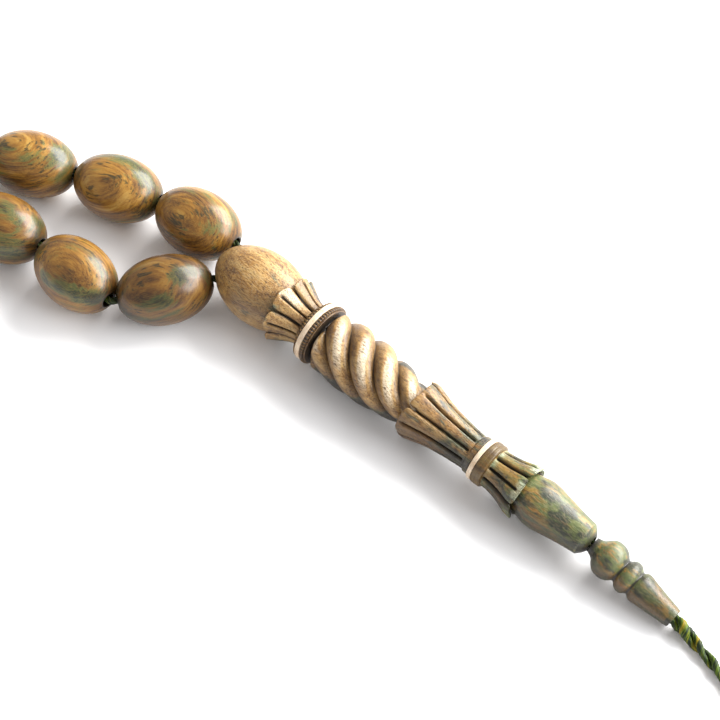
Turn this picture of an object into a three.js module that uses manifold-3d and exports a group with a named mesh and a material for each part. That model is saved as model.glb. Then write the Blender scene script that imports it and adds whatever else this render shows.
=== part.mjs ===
// Misbaha (prayer beads): a loop of turned olive-shaped wooden beads with two
// separators, a carved imame (leader bead) in three joined sections with two
// bone rings, a turned finial, and a twisted silk tail with a tassel.
// Millimetres, +Z up. The imame lies along +X with the finial towards +X; the
// loop lies towards -X. Everything rests on the plane z = 0.
import * as THREE from 'three';
import { mergeVertices } from 'three/addons/utils/BufferGeometryUtils.js';
import Module from 'manifold-3d';

const wasm = await Module();
wasm.setup();

// ---------------------------------------------------------------- dimensions
const BEAD_LENGTH = 10.9;        // along the bore
const BEAD_RADIUS = 4.0;         // inscribed radius of the widest band
const BEAD_SEMI = 5.72;          // semi-axis of the full olive, cut by the end faces
const BEAD_END_RADIUS = 0.95;    // flat ring around the bore mouth
const BEAD_SEGMENTS = 12;
const BEAD_BAND = 1.6;           // half length of the straight middle band
const BORE_RADIUS = 0.78;        // every string hole
const CORD_RADIUS = 0.45;        // silk cord, as strung
const CORD_HEIGHT = BEAD_RADIUS; // the string lies one bead radius up
const END_GAP = 0.3;             // bead face to the bend point of the string

const SEPARATOR_LENGTH = 4.5;
const SEPARATOR_RADIUS = 3.9;

const IMAME_TILT = 0.0298;       // it rests on its egg and its lower calyx
const IMAME_HEIGHT = 3.868;      // axis height at x = 0
const TENON_1_RADIUS = 1.9, SOCKET_1_RADIUS = 2.15;
const TENON_2_RADIUS = 1.25, SOCKET_2_RADIUS = 1.5;
const CROWN_PETALS = 7, CALYX_PETALS = 5;
const CROWN_PHASE = 42.8, UPPER_CALYX_PHASE = 30.8, LOWER_CALYX_PHASE = -3.0;
const TWIST_STARTS = 5, TWIST_LEAD = 15.6, TWIST_PHASE = 25.8, TWIST_GROOVE_X = 2.08;

const FINIAL_LENGTH = 10.75;
const FINIAL_PITCH = 8.4, FINIAL_YAW = -2.3;   // degrees below the plane, and sideways
const NECK_X = 32.5;                            // the finial's neck on the imame axis

// Bend points of the string, seen from above, from the imame's upper hole round
// the loop to its lower hole. A bead fills each step unless it is named below.
const FIRST_STRAND = [[-21.20, 2.65], [-32.40, 1.16], [-42.90, -2.61], [-53.25, -7.39]];
const UPPER_LOOP = [[-64.58, -9.35], [-76.07, -8.73], [-87.24, -6.03], [-97.95, -1.83],
  [-108.23, 3.32], [-118.30, 8.88], [-128.41, 14.36], [-138.81, 19.26], [-143.63, 20.93],
  [-154.94, 23.00], [-166.44, 22.77], [-177.54, 19.75], [-187.34, 13.73], [-194.78, 4.97],
  [-198.98, -5.74], [-199.45, -17.23], [-196.16, -28.24], [-189.45, -37.59],
  [-180.07, -44.24], [-169.04, -47.47]];
const LOWER_LOOP = [[-123.50, -45.34], [-112.22, -43.14], [-101.31, -39.50], [-90.80, -34.83],
  [-80.57, -29.58], [-70.38, -24.24], [-60.00, -19.30], [-49.23, -15.26]];
const LAST_STRAND = [[-38.05, -12.58], [-26.10, -12.64], [-19.76, -2.51]];
const SEPARATOR_1_AFTER = 11;    // beads before the first separator
const SEPARATOR_2_AFTER = 22;    // beads before the second separator
const HOLE_SPREAD = 0.62;        // half distance of the two string ends inside the head

// Route of the free tail on the table, from the finial's end to the tassel.
const TAIL_ROUTE = [[43.55, -0.43, 1.22], [44.7, -0.52, 0.88], [46.2, -0.80, 0.60],
  [48.0, -1.20, 0.55], [50.0, -1.75, 0.55], [53.0, -2.65, 0.55], [57.0, -3.95, 0.55],
  [62.0, -5.45, 0.55], [67.0, -6.60, 0.55], [72.0, -7.25, 0.55], [77.0, -7.35, 0.55],
  [82.0, -6.95, 0.55], [87.0, -6.25, 0.55], [92.0, -5.55, 0.60], [96.0, -5.20, 0.80],
  [99.5, -5.02, 1.20], [102.2, -4.95, 1.55]];
const TAIL_RADIUS = 0.5;
const KNOT_RADIUS = 1.75, TASSEL_X = 102.5, TASSEL_Y = -4.95;
const TASSEL_YAW = 1.5;          // degrees

// ------------------------------------------------------------------ materials
const material = (color, roughness, metalness = 0) =>
  new THREE.MeshStandardMaterial({ color, roughness, metalness });
const beadWood = material(0x8a5f2a, 0.38);
const paleWood = material(0xa98350, 0.6);
const oliveWood = material(0x74703e, 0.55);
const bone = material(0xe9dcc6, 0.45);
const silk = material(0x2d3d16, 0.7);

// -------------------------------------------------------------------- helpers
const group = new THREE.Group();
const cordNames = new Set();
const rad = THREE.MathUtils.degToRad;

// Merged vertices, no zero triangles, faces outwards.
function closed(geometry) {
  for (const name of ['normal', 'uv']) if (geometry.getAttribute(name)) geometry.deleteAttribute(name);
  const g = mergeVertices(geometry, 1e-4);
  const p = g.getAttribute('position');
  const index = g.index ? g.index.array : Array.from({ length: p.count }, (_, i) => i);
  const keep = [];
  let volume = 0;
  const a = new THREE.Vector3(), b = new THREE.Vector3(), c = new THREE.Vector3();
  for (let i = 0; i < index.length; i += 3) {
    const [u, v, w] = [index[i], index[i + 1], index[i + 2]];
    if (u === v || v === w || w === u) continue;
    keep.push(u, v, w);
    a.fromBufferAttribute(p, u); b.fromBufferAttribute(p, v); c.fromBufferAttribute(p, w);
    volume += a.dot(b.clone().cross(c)) / 6;
  }
  if (volume < 0) for (let i = 0; i < keep.length; i += 3) [keep[i], keep[i + 1]] = [keep[i + 1], keep[i]];
  g.setIndex(keep);
  return g;
}

function toManifold(geometry) {
  const g = closed(geometry);
  return new wasm.Manifold(new wasm.Mesh({
    numProp: 3,
    vertProperties: new Float32Array(g.getAttribute('position').array),
    triVerts: new Uint32Array(g.index.array),
  }));
}

function fromManifold(solid) {
  const m = solid.getMesh();
  const g = new THREE.BufferGeometry();
  const flat = new Float32Array((m.vertProperties.length / m.numProp) * 3);
  for (let i = 0; i < flat.length / 3; i++)
    for (let k = 0; k < 3; k++) flat[3 * i + k] = m.vertProperties[m.numProp * i + k];
  g.setAttribute('position', new THREE.BufferAttribute(flat, 3));
  g.setIndex(Array.from(m.triVerts));
  return closed(g);
}

// A turned piece with its axis along +X. profile is a list of [x, r]; carve(x, r,
// angle, index) may move a point, where angle is in degrees from +Z towards -Y.
function turned(profile, segments, carve = null, start = 0) {
  const points = profile.map(([x, r]) => new THREE.Vector2(r, x));
  const g = new THREE.LatheGeometry(points, segments, start);
  if (carve) {
    const p = g.getAttribute('position');
    const n = points.length;
    for (let i = 0; i <= segments; i++) {
      const phi = start + ((i % segments) / segments) * Math.PI * 2;
      for (let j = 0; j < n; j++) {
        const [x, r] = carve(profile[j][0], profile[j][1], THREE.MathUtils.radToDeg(phi), j);
        p.setXYZ(i * n + j, r * Math.sin(phi), x, r * Math.cos(phi));
      }
    }
  }
  g.rotateZ(-Math.PI / 2);
  return closed(g);
}

// A cylinder between two points, for drilling.
function drill(from, to, radius, segments = 16) {
  const a = new THREE.Vector3(...from), b = new THREE.Vector3(...to);
  const length = a.distanceTo(b);
  const g = new THREE.CylinderGeometry(radius, radius, length, segments);
  const q = new THREE.Quaternion().setFromUnitVectors(
    new THREE.Vector3(0, 1, 0), b.clone().sub(a).normalize());
  g.applyQuaternion(q);
  g.translate((a.x + b.x) / 2, (a.y + b.y) / 2, (a.z + b.z) / 2);
  return toManifold(g);
}

// A path through given points, whose sections stand on the corner bisectors.
class Route extends THREE.Curve {
  constructor(points) { super(); this.points = points; }
  getPoint(t, target = new THREE.Vector3()) {
    const n = this.points.length - 1, u = t * n, i = Math.min(n - 1, Math.floor(u + 1e-9));
    return target.copy(this.points[i]).lerp(this.points[i + 1], Math.min(1, Math.max(0, u - i)));
  }
  getPointAt(u, target) { return this.getPoint(u, target); }
  getTangentAt(u, target = new THREE.Vector3()) {
    const n = this.points.length - 1, i = Math.round(u * n);
    const before = this.points[Math.max(0, i - 1)], here = this.points[i];
    const after = this.points[Math.min(n, i + 1)];
    const t = new THREE.Vector3();
    if (i > 0) t.add(here.clone().sub(before).normalize());
    if (i < n) t.add(after.clone().sub(here).normalize());
    return target.copy(t.normalize());
  }
}

function cordTube(points, radius) {
  const shape = new THREE.Shape(Array.from({ length: 8 }, (_, i) => new THREE.Vector2(
    radius * Math.cos((i + 0.5) * Math.PI / 4), radius * Math.sin((i + 0.5) * Math.PI / 4))));
  return closed(new THREE.ExtrudeGeometry(shape, {
    steps: points.length - 1, curveSegments: 1, bevelEnabled: false, extrudePath: new Route(points),
  }));
}

function add(name, geometry, look, place = null) {
  const mesh = new THREE.Mesh(geometry, look);
  mesh.name = name;
  if (place) place(mesh);
  group.add(mesh);
  return mesh;
}

// ---------------------------------------------------------------------- beads
const round = 1 / Math.cos(Math.PI / BEAD_SEGMENTS);
const olive = (x) => BEAD_RADIUS * Math.sqrt(Math.max(0, 1 - (x / BEAD_SEMI) ** 2));
const beadHalf = BEAD_LENGTH / 2;
const beadProfile = [
  [-beadHalf, BORE_RADIUS], [-beadHalf, BEAD_END_RADIUS * round], [-3.9, olive(3.9) * round],
  [-BEAD_BAND, BEAD_RADIUS * round], [BEAD_BAND, BEAD_RADIUS * round], [3.9, olive(3.9) * round],
  [beadHalf, BEAD_END_RADIUS * round], [beadHalf, BORE_RADIUS], [-beadHalf, BORE_RADIUS]];
const beadGeometry = turned(beadProfile, BEAD_SEGMENTS, null, Math.PI / BEAD_SEGMENTS);

const sepHalf = SEPARATOR_LENGTH / 2;
const separatorGeometry = turned([
  [-sepHalf, BORE_RADIUS], [-sepHalf, 1.5], [-1.55, 1.9], [-1.1, 3.3], [-0.45, SEPARATOR_RADIUS],
  [0.45, SEPARATOR_RADIUS], [1.1, 3.3], [1.55, 1.9], [sepHalf, 1.5], [sepHalf, BORE_RADIUS],
  [-sepHalf, BORE_RADIUS]], 16, null, Math.PI / 16);

const pad = (n) => String(n).padStart(2, '0');
const at = ([x, y]) => new THREE.Vector3(x, y, CORD_HEIGHT);
const stringPoints = [];          // filled in order round the loop

// A piece of the given length between two bend points, centred on their line
// unless shift moves it along.
function strung(name, geometry, look, a, b, shift = 0) {
  const mid = a.clone().add(b).multiplyScalar(0.5);
  const way = b.clone().sub(a).normalize();
  add(name, geometry, look, (mesh) => {
    mesh.position.copy(mid.addScaledVector(way, shift));
    mesh.rotation.z = Math.atan2(-way.y, -way.x);
  });
}

const upper = [...FIRST_STRAND, ...UPPER_LOOP].map(at);
let count = 0;
for (let i = 0; i + 1 < upper.length; i++) {
  if (count === SEPARATOR_1_AFTER && !group.getObjectByName('separator_1')) {
    strung('separator_1', separatorGeometry, oliveWood, upper[i], upper[i + 1]);
  } else {
    count += 1;
    strung('bead_' + pad(count), beadGeometry, beadWood, upper[i], upper[i + 1]);
  }
}
// The straight stretch of bare string: slack, then separator 2 and the next bead.
const lower = [...LOWER_LOOP, ...LAST_STRAND].map(at);
const slackStart = upper[upper.length - 1], straightEnd = lower[0];
const straight = straightEnd.clone().sub(slackStart).normalize();
const afterSeparator = straightEnd.clone().addScaledVector(straight, -(BEAD_LENGTH + 2 * END_GAP));
const beforeSeparator = afterSeparator.clone().addScaledVector(straight, -(SEPARATOR_LENGTH + 2 * END_GAP));
strung('separator_2', separatorGeometry, oliveWood, beforeSeparator, afterSeparator);
count += 1;
strung('bead_' + pad(count), beadGeometry, beadWood, afterSeparator, straightEnd);
for (let i = 0; i + 1 < lower.length; i++) {
  count += 1;
  // The last three beads sit pushed together towards the imame, as far as the turns let them.
  const shift = { [lower.length - 4]: 0.3, [lower.length - 3]: 0.1, [lower.length - 2]: 0.225 }[i] ?? 0;
  strung('bead_' + pad(count), beadGeometry, beadWood, lower[i], lower[i + 1], shift);
}

// ---------------------------------------------------------------------- imame
const imame = new THREE.Matrix4().makeTranslation(0, 0, IMAME_HEIGHT)
  .multiply(new THREE.Matrix4().makeRotationY(IMAME_TILT));
const imameInverse = imame.clone().invert();
const onAxis = (x) => new THREE.Vector3(x, 0, 0).applyMatrix4(imame);
const local = (v) => { const w = v.clone().applyMatrix4(imameInverse); return [w.x, w.y, w.z]; };
const seat = (mesh) => { mesh.applyMatrix4(imame); };

// 0 in the middle of a petal, 1 on the notch between two petals.
const toNotch = (angle, petals, phase) => {
  const step = 360 / petals;
  const a = (((angle - phase) % step) + step) % step;
  return Math.abs(a / step - 0.5) * 2;
};

// Head: egg, crown of seven petals, milled collar, tenon.
const headProfile = [
  [-21.0, 0], [-20.75, 1.0], [-20.0, 2.15], [-18.6, 3.25], [-16.8, 4.0], [-14.6, 4.3],
  [-12.6, 4.08], [-11.4, 3.72], [-10.9, 3.5],
  [-10.5, 4.05], [-9.2, 3.3], [-8.2, 2.7],                       // crown: 9, 10, 11
  [-7.7, 2.75], [-6.6, 3.6], [-6.25, 3.6], [-6.25, TENON_1_RADIUS], [-2.3, TENON_1_RADIUS],
  [-2.3, 0]];
const headSolid = turned(headProfile, CROWN_PETALS * 6, (x, r, angle, j) => {
  const n = toNotch(angle, CROWN_PETALS, CROWN_PHASE);
  if (j === 8) return [x + 1.2 * n * n, r - 0.55 * n * n];
  if (j === 9) return [x + 1.7 * n * n, r - 0.85 * n * n];
  if (j === 10) return [x + 0.55 * n * n, r - 0.35 * n * n];
  return [x, r];
}, rad(CROWN_PHASE));
const holeIn = (y) => [-14.4, y, 0];
const upperMouth = upper[0].clone().add(new THREE.Vector3(0, 0, 0.12));
const lowerMouth = lower[lower.length - 1].clone().add(new THREE.Vector3(0, 0, 0.12));
const past = (from, to, extra) => {
  const a = new THREE.Vector3(...from), b = new THREE.Vector3(...to);
  const w = b.clone().sub(a).normalize();
  b.addScaledVector(w, extra);
  return [b.x, b.y, b.z];
};
const holeUp = local(upperMouth), holeDown = local(lowerMouth);
const head = toManifold(headSolid)
  .subtract(drill(holeIn(HOLE_SPREAD), past(holeIn(HOLE_SPREAD), holeUp, 1.5), BORE_RADIUS))
  .subtract(drill(holeIn(-HOLE_SPREAD), past(holeIn(-HOLE_SPREAD), holeDown, 2.5), BORE_RADIUS))
  .subtract(drill([-14.9, 0, 0], [-1.5, 0, 0], BORE_RADIUS));
add('imame_head', fromManifold(head), paleWood, seat);

add('bone_ring_1', turned([[-6.1, SOCKET_1_RADIUS], [-6.1, 3.7], [-5.6, 3.7],
  [-5.6, SOCKET_1_RADIUS], [-6.1, SOCKET_1_RADIUS]], 28), bone, seat);

// Column: milled collar, dark groove, five-start twist, long five-petal calyx,
// thin collar, tenon. Bored through, with a socket for the head's tenon.
const twistRadius = (x) => {
  const k = THREE.MathUtils.clamp((x + 4.2) / 12.0, 0, 1);
  return 3.3 + 1.5 * k - 2.45 * k * k;                // 3.3 - 3.53 - 2.35
};
const columnProfile = [];
columnProfile.push([-5.45, SOCKET_1_RADIUS], [-5.45, 3.75], [-4.85, 3.75], [-4.75, 2.95], [-4.4, 2.95]);
const twistFrom = columnProfile.length;
for (let k = 0; k <= 13; k++) columnProfile.push([-4.2 + (12.0 * k) / 13, 3]);
const twistTo = columnProfile.length - 1;
const calyxFrom = columnProfile.length;
columnProfile.push([8.35, 3.3], [9.3, 3.34], [11.0, 2.86], [13.0, 2.44], [16.6, 2.08]);
const calyxTo = columnProfile.length - 1;
columnProfile.push([16.75, 2.3], [17.4, 2.3], [17.4, TENON_2_RADIUS], [20.8, TENON_2_RADIUS],
  [20.8, BORE_RADIUS], [-1.9, BORE_RADIUS], [-1.9, SOCKET_1_RADIUS], [-5.45, SOCKET_1_RADIUS]);
const column = turned(columnProfile, CALYX_PETALS * 8, (x, r, angle, j) => {
  if (j >= twistFrom && j <= twistTo) {
    const turn = angle - TWIST_PHASE - (360 * (x - TWIST_GROOVE_X)) / TWIST_LEAD;
    const lobe = Math.abs(Math.sin((rad(turn) * TWIST_STARTS) / 2));
    return [x, twistRadius(x) * (0.8 + 0.2 * Math.pow(lobe, 0.7))];
  }
  if (j >= calyxFrom && j <= calyxTo) {
    const n = toNotch(angle, CALYX_PETALS, UPPER_CALYX_PHASE);
    if (j === calyxFrom) return [x + 1.3 * n ** 3, r - 0.35 * n ** 3];
    return [x, r - 0.16 * n ** 6];
  }
  return [x, r];
}, rad(UPPER_CALYX_PHASE));
add('imame_column', column, paleWood, seat);

add('bone_ring_2', turned([[17.55, SOCKET_2_RADIUS], [17.55, 2.53], [18.0, 2.53],
  [18.0, SOCKET_2_RADIUS], [17.55, SOCKET_2_RADIUS]], 24), bone, seat);

// Base: collar, lower calyx of five petals, vase. Socket for the column's tenon.
const baseProfile = [
  [18.15, SOCKET_2_RADIUS], [18.15, 2.57], [19.25, 2.57], [19.4, 2.2],
  [20.9, 2.42], [22.5, 2.95], [23.7, 3.1], [23.55, 2.75],         // petals: 4 to 7
  [23.3, 2.3], [24.2, 2.45], [25.2, 2.72], [26.2, 2.7], [27.6, 2.48], [29.5, 2.14],
  [31.5, 1.86], [31.7, 1.8], [32.15, 1.15], [32.15, BORE_RADIUS], [21.1, BORE_RADIUS],
  [21.1, SOCKET_2_RADIUS], [18.15, SOCKET_2_RADIUS]];
const base = turned(baseProfile, CALYX_PETALS * 6, (x, r, angle, j) => {
  const n = toNotch(angle, CALYX_PETALS, LOWER_CALYX_PHASE);
  if (j === 5) return [x, r - 0.25 * n * n];
  if (j === 6) return [x - 0.9 * n * n, r - 0.45 * n * n];
  if (j === 7) return [x - 0.75 * n * n, r - 0.25 * n * n];
  return [x, r];
}, rad(LOWER_CALYX_PHASE));
add('imame_base', base, oliveWood, seat);

// --------------------------------------------------------------------- finial
const neck = onAxis(NECK_X);
const finialTurn = new THREE.Matrix4().makeTranslation(neck.x, neck.y, neck.z)
  .multiply(new THREE.Matrix4().makeRotationZ(rad(FINIAL_YAW)))
  .multiply(new THREE.Matrix4().makeRotationY(rad(FINIAL_PITCH)));
const onFinial = (u) => new THREE.Vector3(u, 0, 0).applyMatrix4(finialTurn);
add('finial', turned([
  [0, BORE_RADIUS], [0, 0.98], [0.6, 1.15], [1.2, 1.85], [2.3, 2.15], [3.3, 1.8], [3.75, 1.45],
  [4.3, 1.78], [4.8, 1.88], [5.3, 1.75], [5.65, 1.5], [6.2, 1.73], [8.4, 1.4], [10.6, 1.1],
  [FINIAL_LENGTH, 1.05], [FINIAL_LENGTH, BORE_RADIUS], [0, BORE_RADIUS]], 20),
oliveWood, (mesh) => mesh.applyMatrix4(finialTurn));

// ---------------------------------------------------------------------- cords
// The stringing cord: one piece round the whole loop, both ends in the head.
stringPoints.push(new THREE.Vector3(...holeIn(HOLE_SPREAD)).applyMatrix4(imame));
stringPoints.push(upperMouth.clone());
stringPoints.push(...upper.slice(1));
stringPoints.push(...lower.slice(0, -1));
stringPoints.push(lowerMouth.clone());
stringPoints.push(new THREE.Vector3(...holeIn(-HOLE_SPREAD)).applyMatrix4(imame));
add('stringing_cord', cordTube(stringPoints, CORD_RADIUS), silk);

// The same cord's two ends, twisted together, run on through the imame and the finial.
add('imame_core_cord', cordTube([
  onAxis(-12.9), onAxis(-6), onAxis(2), onAxis(10), onAxis(18), onAxis(26), onAxis(32.3),
  onFinial(1.2), onFinial(6), onFinial(10.6)], CORD_RADIUS), silk);

// Free tail and its tassel.
add('tail_cord', cordTube(TAIL_ROUTE.map(([x, y, z]) => new THREE.Vector3(x, y, z)), TAIL_RADIUS), silk);
const tasselFrame = (z, pitch) => (mesh) => {
  mesh.position.set(TASSEL_X, TASSEL_Y, z);
  mesh.rotation.set(0, rad(pitch), rad(TASSEL_YAW), 'ZYX');
};
add('tassel_knot', turned([[0.05, 0], [0.1, 0.9], [0.9, 1.6], [1.75, KNOT_RADIUS], [2.6, 1.6],
  [3.4, 0.9], [3.45, 0]], 14), silk, tasselFrame(1.8, 0));
add('tassel_head', turned([[3.8, 0], [3.8, 1.2], [4.4, 2.0], [5.6, 2.3], [7.6, 2.3], [8.6, 2.05],
  [9.0, 1.85], [9.0, 0]], 16), silk, tasselFrame(2.35, 0));
add('tassel_skirt', turned([[9.3, 0], [9.3, 1.7], [11.5, 2.05], [16, 2.4], [24, 2.75], [34, 3.0],
  [41, 3.1], [42, 2.9], [42, 0]], 16, (x, r, angle) => {
  // The threads spread a little sideways where they lie.
  const spread = THREE.MathUtils.clamp((x - 9.3) / 30, 0, 1);
  const high = r * (1 - 0.28 * spread), wide = r * (1 + 0.45 * spread);
  return [x, 1 / Math.hypot(Math.cos(rad(angle)) / high, Math.sin(rad(angle)) / wide)];
}), silk, tasselFrame(2.4, 0));
for (const n of ['tail_cord', 'tassel_knot', 'tassel_head', 'tassel_skirt']) cordNames.add(n);

// The origin: under the middle of the object's box, without the free tail.
group.updateMatrixWorld(true);
const box = new THREE.Box3();
for (const mesh of group.children) if (!cordNames.has(mesh.name)) box.union(new THREE.Box3().setFromObject(mesh, true));
group.position.set(-(box.min.x + box.max.x) / 2, -(box.min.y + box.max.y) / 2, -box.min.z);
group.updateMatrixWorld(true);

export default group;
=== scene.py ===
# Misbaha prayer beads: the looks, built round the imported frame.
import math

import bpy
import numpy as np
from mathutils import Matrix, Vector


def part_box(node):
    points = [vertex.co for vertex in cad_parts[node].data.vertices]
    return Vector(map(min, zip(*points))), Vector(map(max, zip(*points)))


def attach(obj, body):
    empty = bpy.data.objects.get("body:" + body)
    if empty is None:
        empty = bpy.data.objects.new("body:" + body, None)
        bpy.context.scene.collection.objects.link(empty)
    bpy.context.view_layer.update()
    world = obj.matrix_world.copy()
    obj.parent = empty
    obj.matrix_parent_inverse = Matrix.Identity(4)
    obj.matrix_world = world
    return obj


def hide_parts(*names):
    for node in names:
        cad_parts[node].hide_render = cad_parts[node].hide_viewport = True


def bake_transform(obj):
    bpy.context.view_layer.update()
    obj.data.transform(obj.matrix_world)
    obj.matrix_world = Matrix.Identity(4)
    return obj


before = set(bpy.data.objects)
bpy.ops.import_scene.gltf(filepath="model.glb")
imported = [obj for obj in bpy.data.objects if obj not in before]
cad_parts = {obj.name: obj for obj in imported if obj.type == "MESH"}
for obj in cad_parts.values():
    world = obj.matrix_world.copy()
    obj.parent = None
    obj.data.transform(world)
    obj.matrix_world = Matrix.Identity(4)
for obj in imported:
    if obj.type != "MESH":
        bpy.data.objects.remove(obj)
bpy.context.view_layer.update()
MM = 0.001
RNG = np.random.default_rng(33)

# The local frame that the shapes are written in has the imame's axis over y = 0;
# its place in the row frame comes from the first bead.
_lo, _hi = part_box("bead_01")
SHIFT = (np.array(_lo) + np.array(_hi)) / 2 / MM - np.array([-26.8, 1.905, 4.0])
SHIFT[2] = 0.0


def row(p):
    """Local millimetres to row metres."""
    return (np.asarray(p, float) + SHIFT) * MM


# ------------------------------------------------------------------ camera
AZ, EL = math.radians(41.9), math.radians(57.0)
FOCAL_PX, DISTANCE = 1480.0, 162.8
view_dir = np.array([-math.sin(AZ) * math.cos(EL), math.cos(AZ) * math.cos(EL), -math.sin(EL)])
target = np.array([0.0, 0.33, 4.0])
cam_data = bpy.data.cameras.new("camera")
cam_data.sensor_width = 36.0
cam_data.lens = FOCAL_PX / 720.0 * 36.0
cam_data.clip_start, cam_data.clip_end = 0.005, 20.0
cam = bpy.data.objects.new("camera", cam_data)
bpy.context.scene.collection.objects.link(cam)
cam.location = row(target - view_dir * DISTANCE)
cam.rotation_mode = "QUATERNION"
cam.rotation_quaternion = Vector(view_dir).to_track_quat("-Z", "Y")
bpy.context.scene.camera = cam


# ------------------------------------------------------------- mesh helpers
def new_object(name, verts, faces, smooth=True):
    """verts in row metres, faces as an (n, 4) or (n, 3) array, or a list of such arrays."""
    verts = np.asarray(verts, np.float64)
    groups = faces if isinstance(faces, list) else [faces]
    groups = [np.asarray(g, np.int64) for g in groups if len(g)]
    me = bpy.data.meshes.new(name)
    me.vertices.add(len(verts))
    me.vertices.foreach_set("co", verts.astype(np.float32).ravel())
    loops = np.concatenate([g.ravel() for g in groups])
    counts = np.concatenate([np.full(len(g), g.shape[1]) for g in groups])
    me.loops.add(len(loops))
    me.loops.foreach_set("vertex_index", loops.astype(np.int32))
    me.polygons.add(len(counts))
    starts = np.concatenate([[0], np.cumsum(counts)[:-1]])
    me.polygons.foreach_set("loop_start", starts.astype(np.int32))
    me.update(calc_edges=True)
    me.validate()
    if smooth:
        me.polygons.foreach_set("use_smooth", np.ones(len(me.polygons), bool))
    ob = bpy.data.objects.new(name, me)
    bpy.context.scene.collection.objects.link(ob)
    return ob


def set_float(ob, name, values):
    a = ob.data.attributes.new(name, "FLOAT", "POINT")
    a.data.foreach_set("value", np.asarray(values, np.float32).ravel())


def set_vector(ob, name, values):
    a = ob.data.attributes.new(name, "FLOAT_VECTOR", "POINT")
    a.data.foreach_set("vector", np.asarray(values, np.float32).ravel())


def grid_faces(ni, nj, wrap_i=False, wrap_j=True):
    """Quads of a grid of ni by nj points, index i * nj + j, with i along the axis and j round it."""
    i = np.arange(ni if wrap_i else ni - 1)
    j = np.arange(nj if wrap_j else nj - 1)
    I, J = np.meshgrid(i, j, indexing="ij")
    I2, J2 = (I + 1) % ni, (J + 1) % nj
    return np.stack([I * nj + J, I * nj + J2, I2 * nj + J2, I2 * nj + J], -1).reshape(-1, 4)


def turned(name, X, R, PHI, place, extra=None, cap=False):
    """A grid X, R (profile index by angle) swept round +X; the angle runs from +Z towards -Y.
    place maps local (x, y, z) rows to row metres. The profile closes on itself unless cap is set."""
    Y = -R * np.sin(PHI)[None, :]
    Z = R * np.cos(PHI)[None, :]
    P = np.stack([X, Y, Z], -1)
    if extra is not None:
        P = extra(P)
    ni, nj = X.shape
    flat = P.reshape(-1, 3)
    faces = grid_faces(ni, nj, wrap_i=not cap)[:, ::-1]
    groups = [faces]
    if cap:
        ends = np.array([P[0].mean(0), P[-1].mean(0)])
        flat = np.concatenate([flat, ends])
        a, b = len(flat) - 2, len(flat) - 1
        j = np.arange(nj)
        k = (j + 1) % nj
        last = (ni - 1) * nj
        groups.append(np.stack([np.full(nj, a), k, j], -1)[:, ::-1])
        groups.append(np.stack([np.full(nj, b), last + j, last + k], -1)[:, ::-1])
    ob = new_object(name, place(flat), groups)
    return ob, flat


def resample(points, n_or_step, by_step=True):
    """A profile polyline resampled evenly along its length."""
    p = np.asarray(points, float)
    d = np.concatenate([[0], np.cumsum(np.hypot(*np.diff(p, axis=0).T))])
    n = max(2, int(round(d[-1] / n_or_step)) + 1) if by_step else n_or_step
    s = np.linspace(0, d[-1], n)
    return np.stack([np.interp(s, d, p[:, 0]), np.interp(s, d, p[:, 1])], -1)


def smooth_curve(points, n, closed=False):
    """Catmull-Rom (centripetal) through 2-D or 3-D points."""
    P = np.asarray(points, float)
    P = np.concatenate([[2 * P[0] - P[1]], P, [2 * P[-1] - P[-2]]])
    seg = len(P) - 3
    out = []
    per = max(2, int(math.ceil(n / seg)))
    for i in range(seg):
        p0, p1, p2, p3 = P[i:i + 4]
        t0 = 0.0
        t1 = t0 + max(np.linalg.norm(p1 - p0), 1e-9) ** 0.5
        t2 = t1 + max(np.linalg.norm(p2 - p1), 1e-9) ** 0.5
        t3 = t2 + max(np.linalg.norm(p3 - p2), 1e-9) ** 0.5
        t = np.linspace(t1, t2, per, endpoint=False)[:, None]
        a1 = (t1 - t) / (t1 - t0) * p0 + (t - t0) / (t1 - t0) * p1
        a2 = (t2 - t) / (t2 - t1) * p1 + (t - t1) / (t2 - t1) * p2
        a3 = (t3 - t) / (t3 - t2) * p2 + (t - t2) / (t3 - t2) * p3
        b1 = (t2 - t) / (t2 - t0) * a1 + (t - t0) / (t2 - t0) * a2
        b2 = (t3 - t) / (t3 - t1) * a2 + (t - t1) / (t3 - t1) * a3
        out.append((t2 - t) / (t2 - t1) * b1 + (t - t1) / (t2 - t1) * b2)
    out.append(P[-2][None])
    return np.concatenate(out)


def sstep(a, b, x):
    t = np.clip((x - a) / (b - a), 0, 1)
    return t * t * (3 - 2 * t)


def even(P, step):
    d = np.concatenate([[0], np.cumsum(np.linalg.norm(np.diff(P, axis=0), axis=1))])
    n = max(2, int(round(d[-1] / step)) + 1)
    s = np.linspace(0, d[-1], n)
    return np.stack([np.interp(s, d, P[:, k]) for k in range(P.shape[1])], -1), s


def frames(P):
    """Tangent and two normals along a path, turning as little as they can."""
    T = np.gradient(P, axis=0)
    T /= np.linalg.norm(T, axis=1)[:, None]
    N = np.zeros_like(P)
    up = np.array([0, 0, 1.0])
    n = up - T[0] * (up @ T[0])
    N[0] = n / np.linalg.norm(n)
    for i in range(1, len(P)):
        n = N[i - 1] - T[i] * (N[i - 1] @ T[i])
        N[i] = n / np.linalg.norm(n)
    return T, N, np.cross(T, N)


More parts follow.
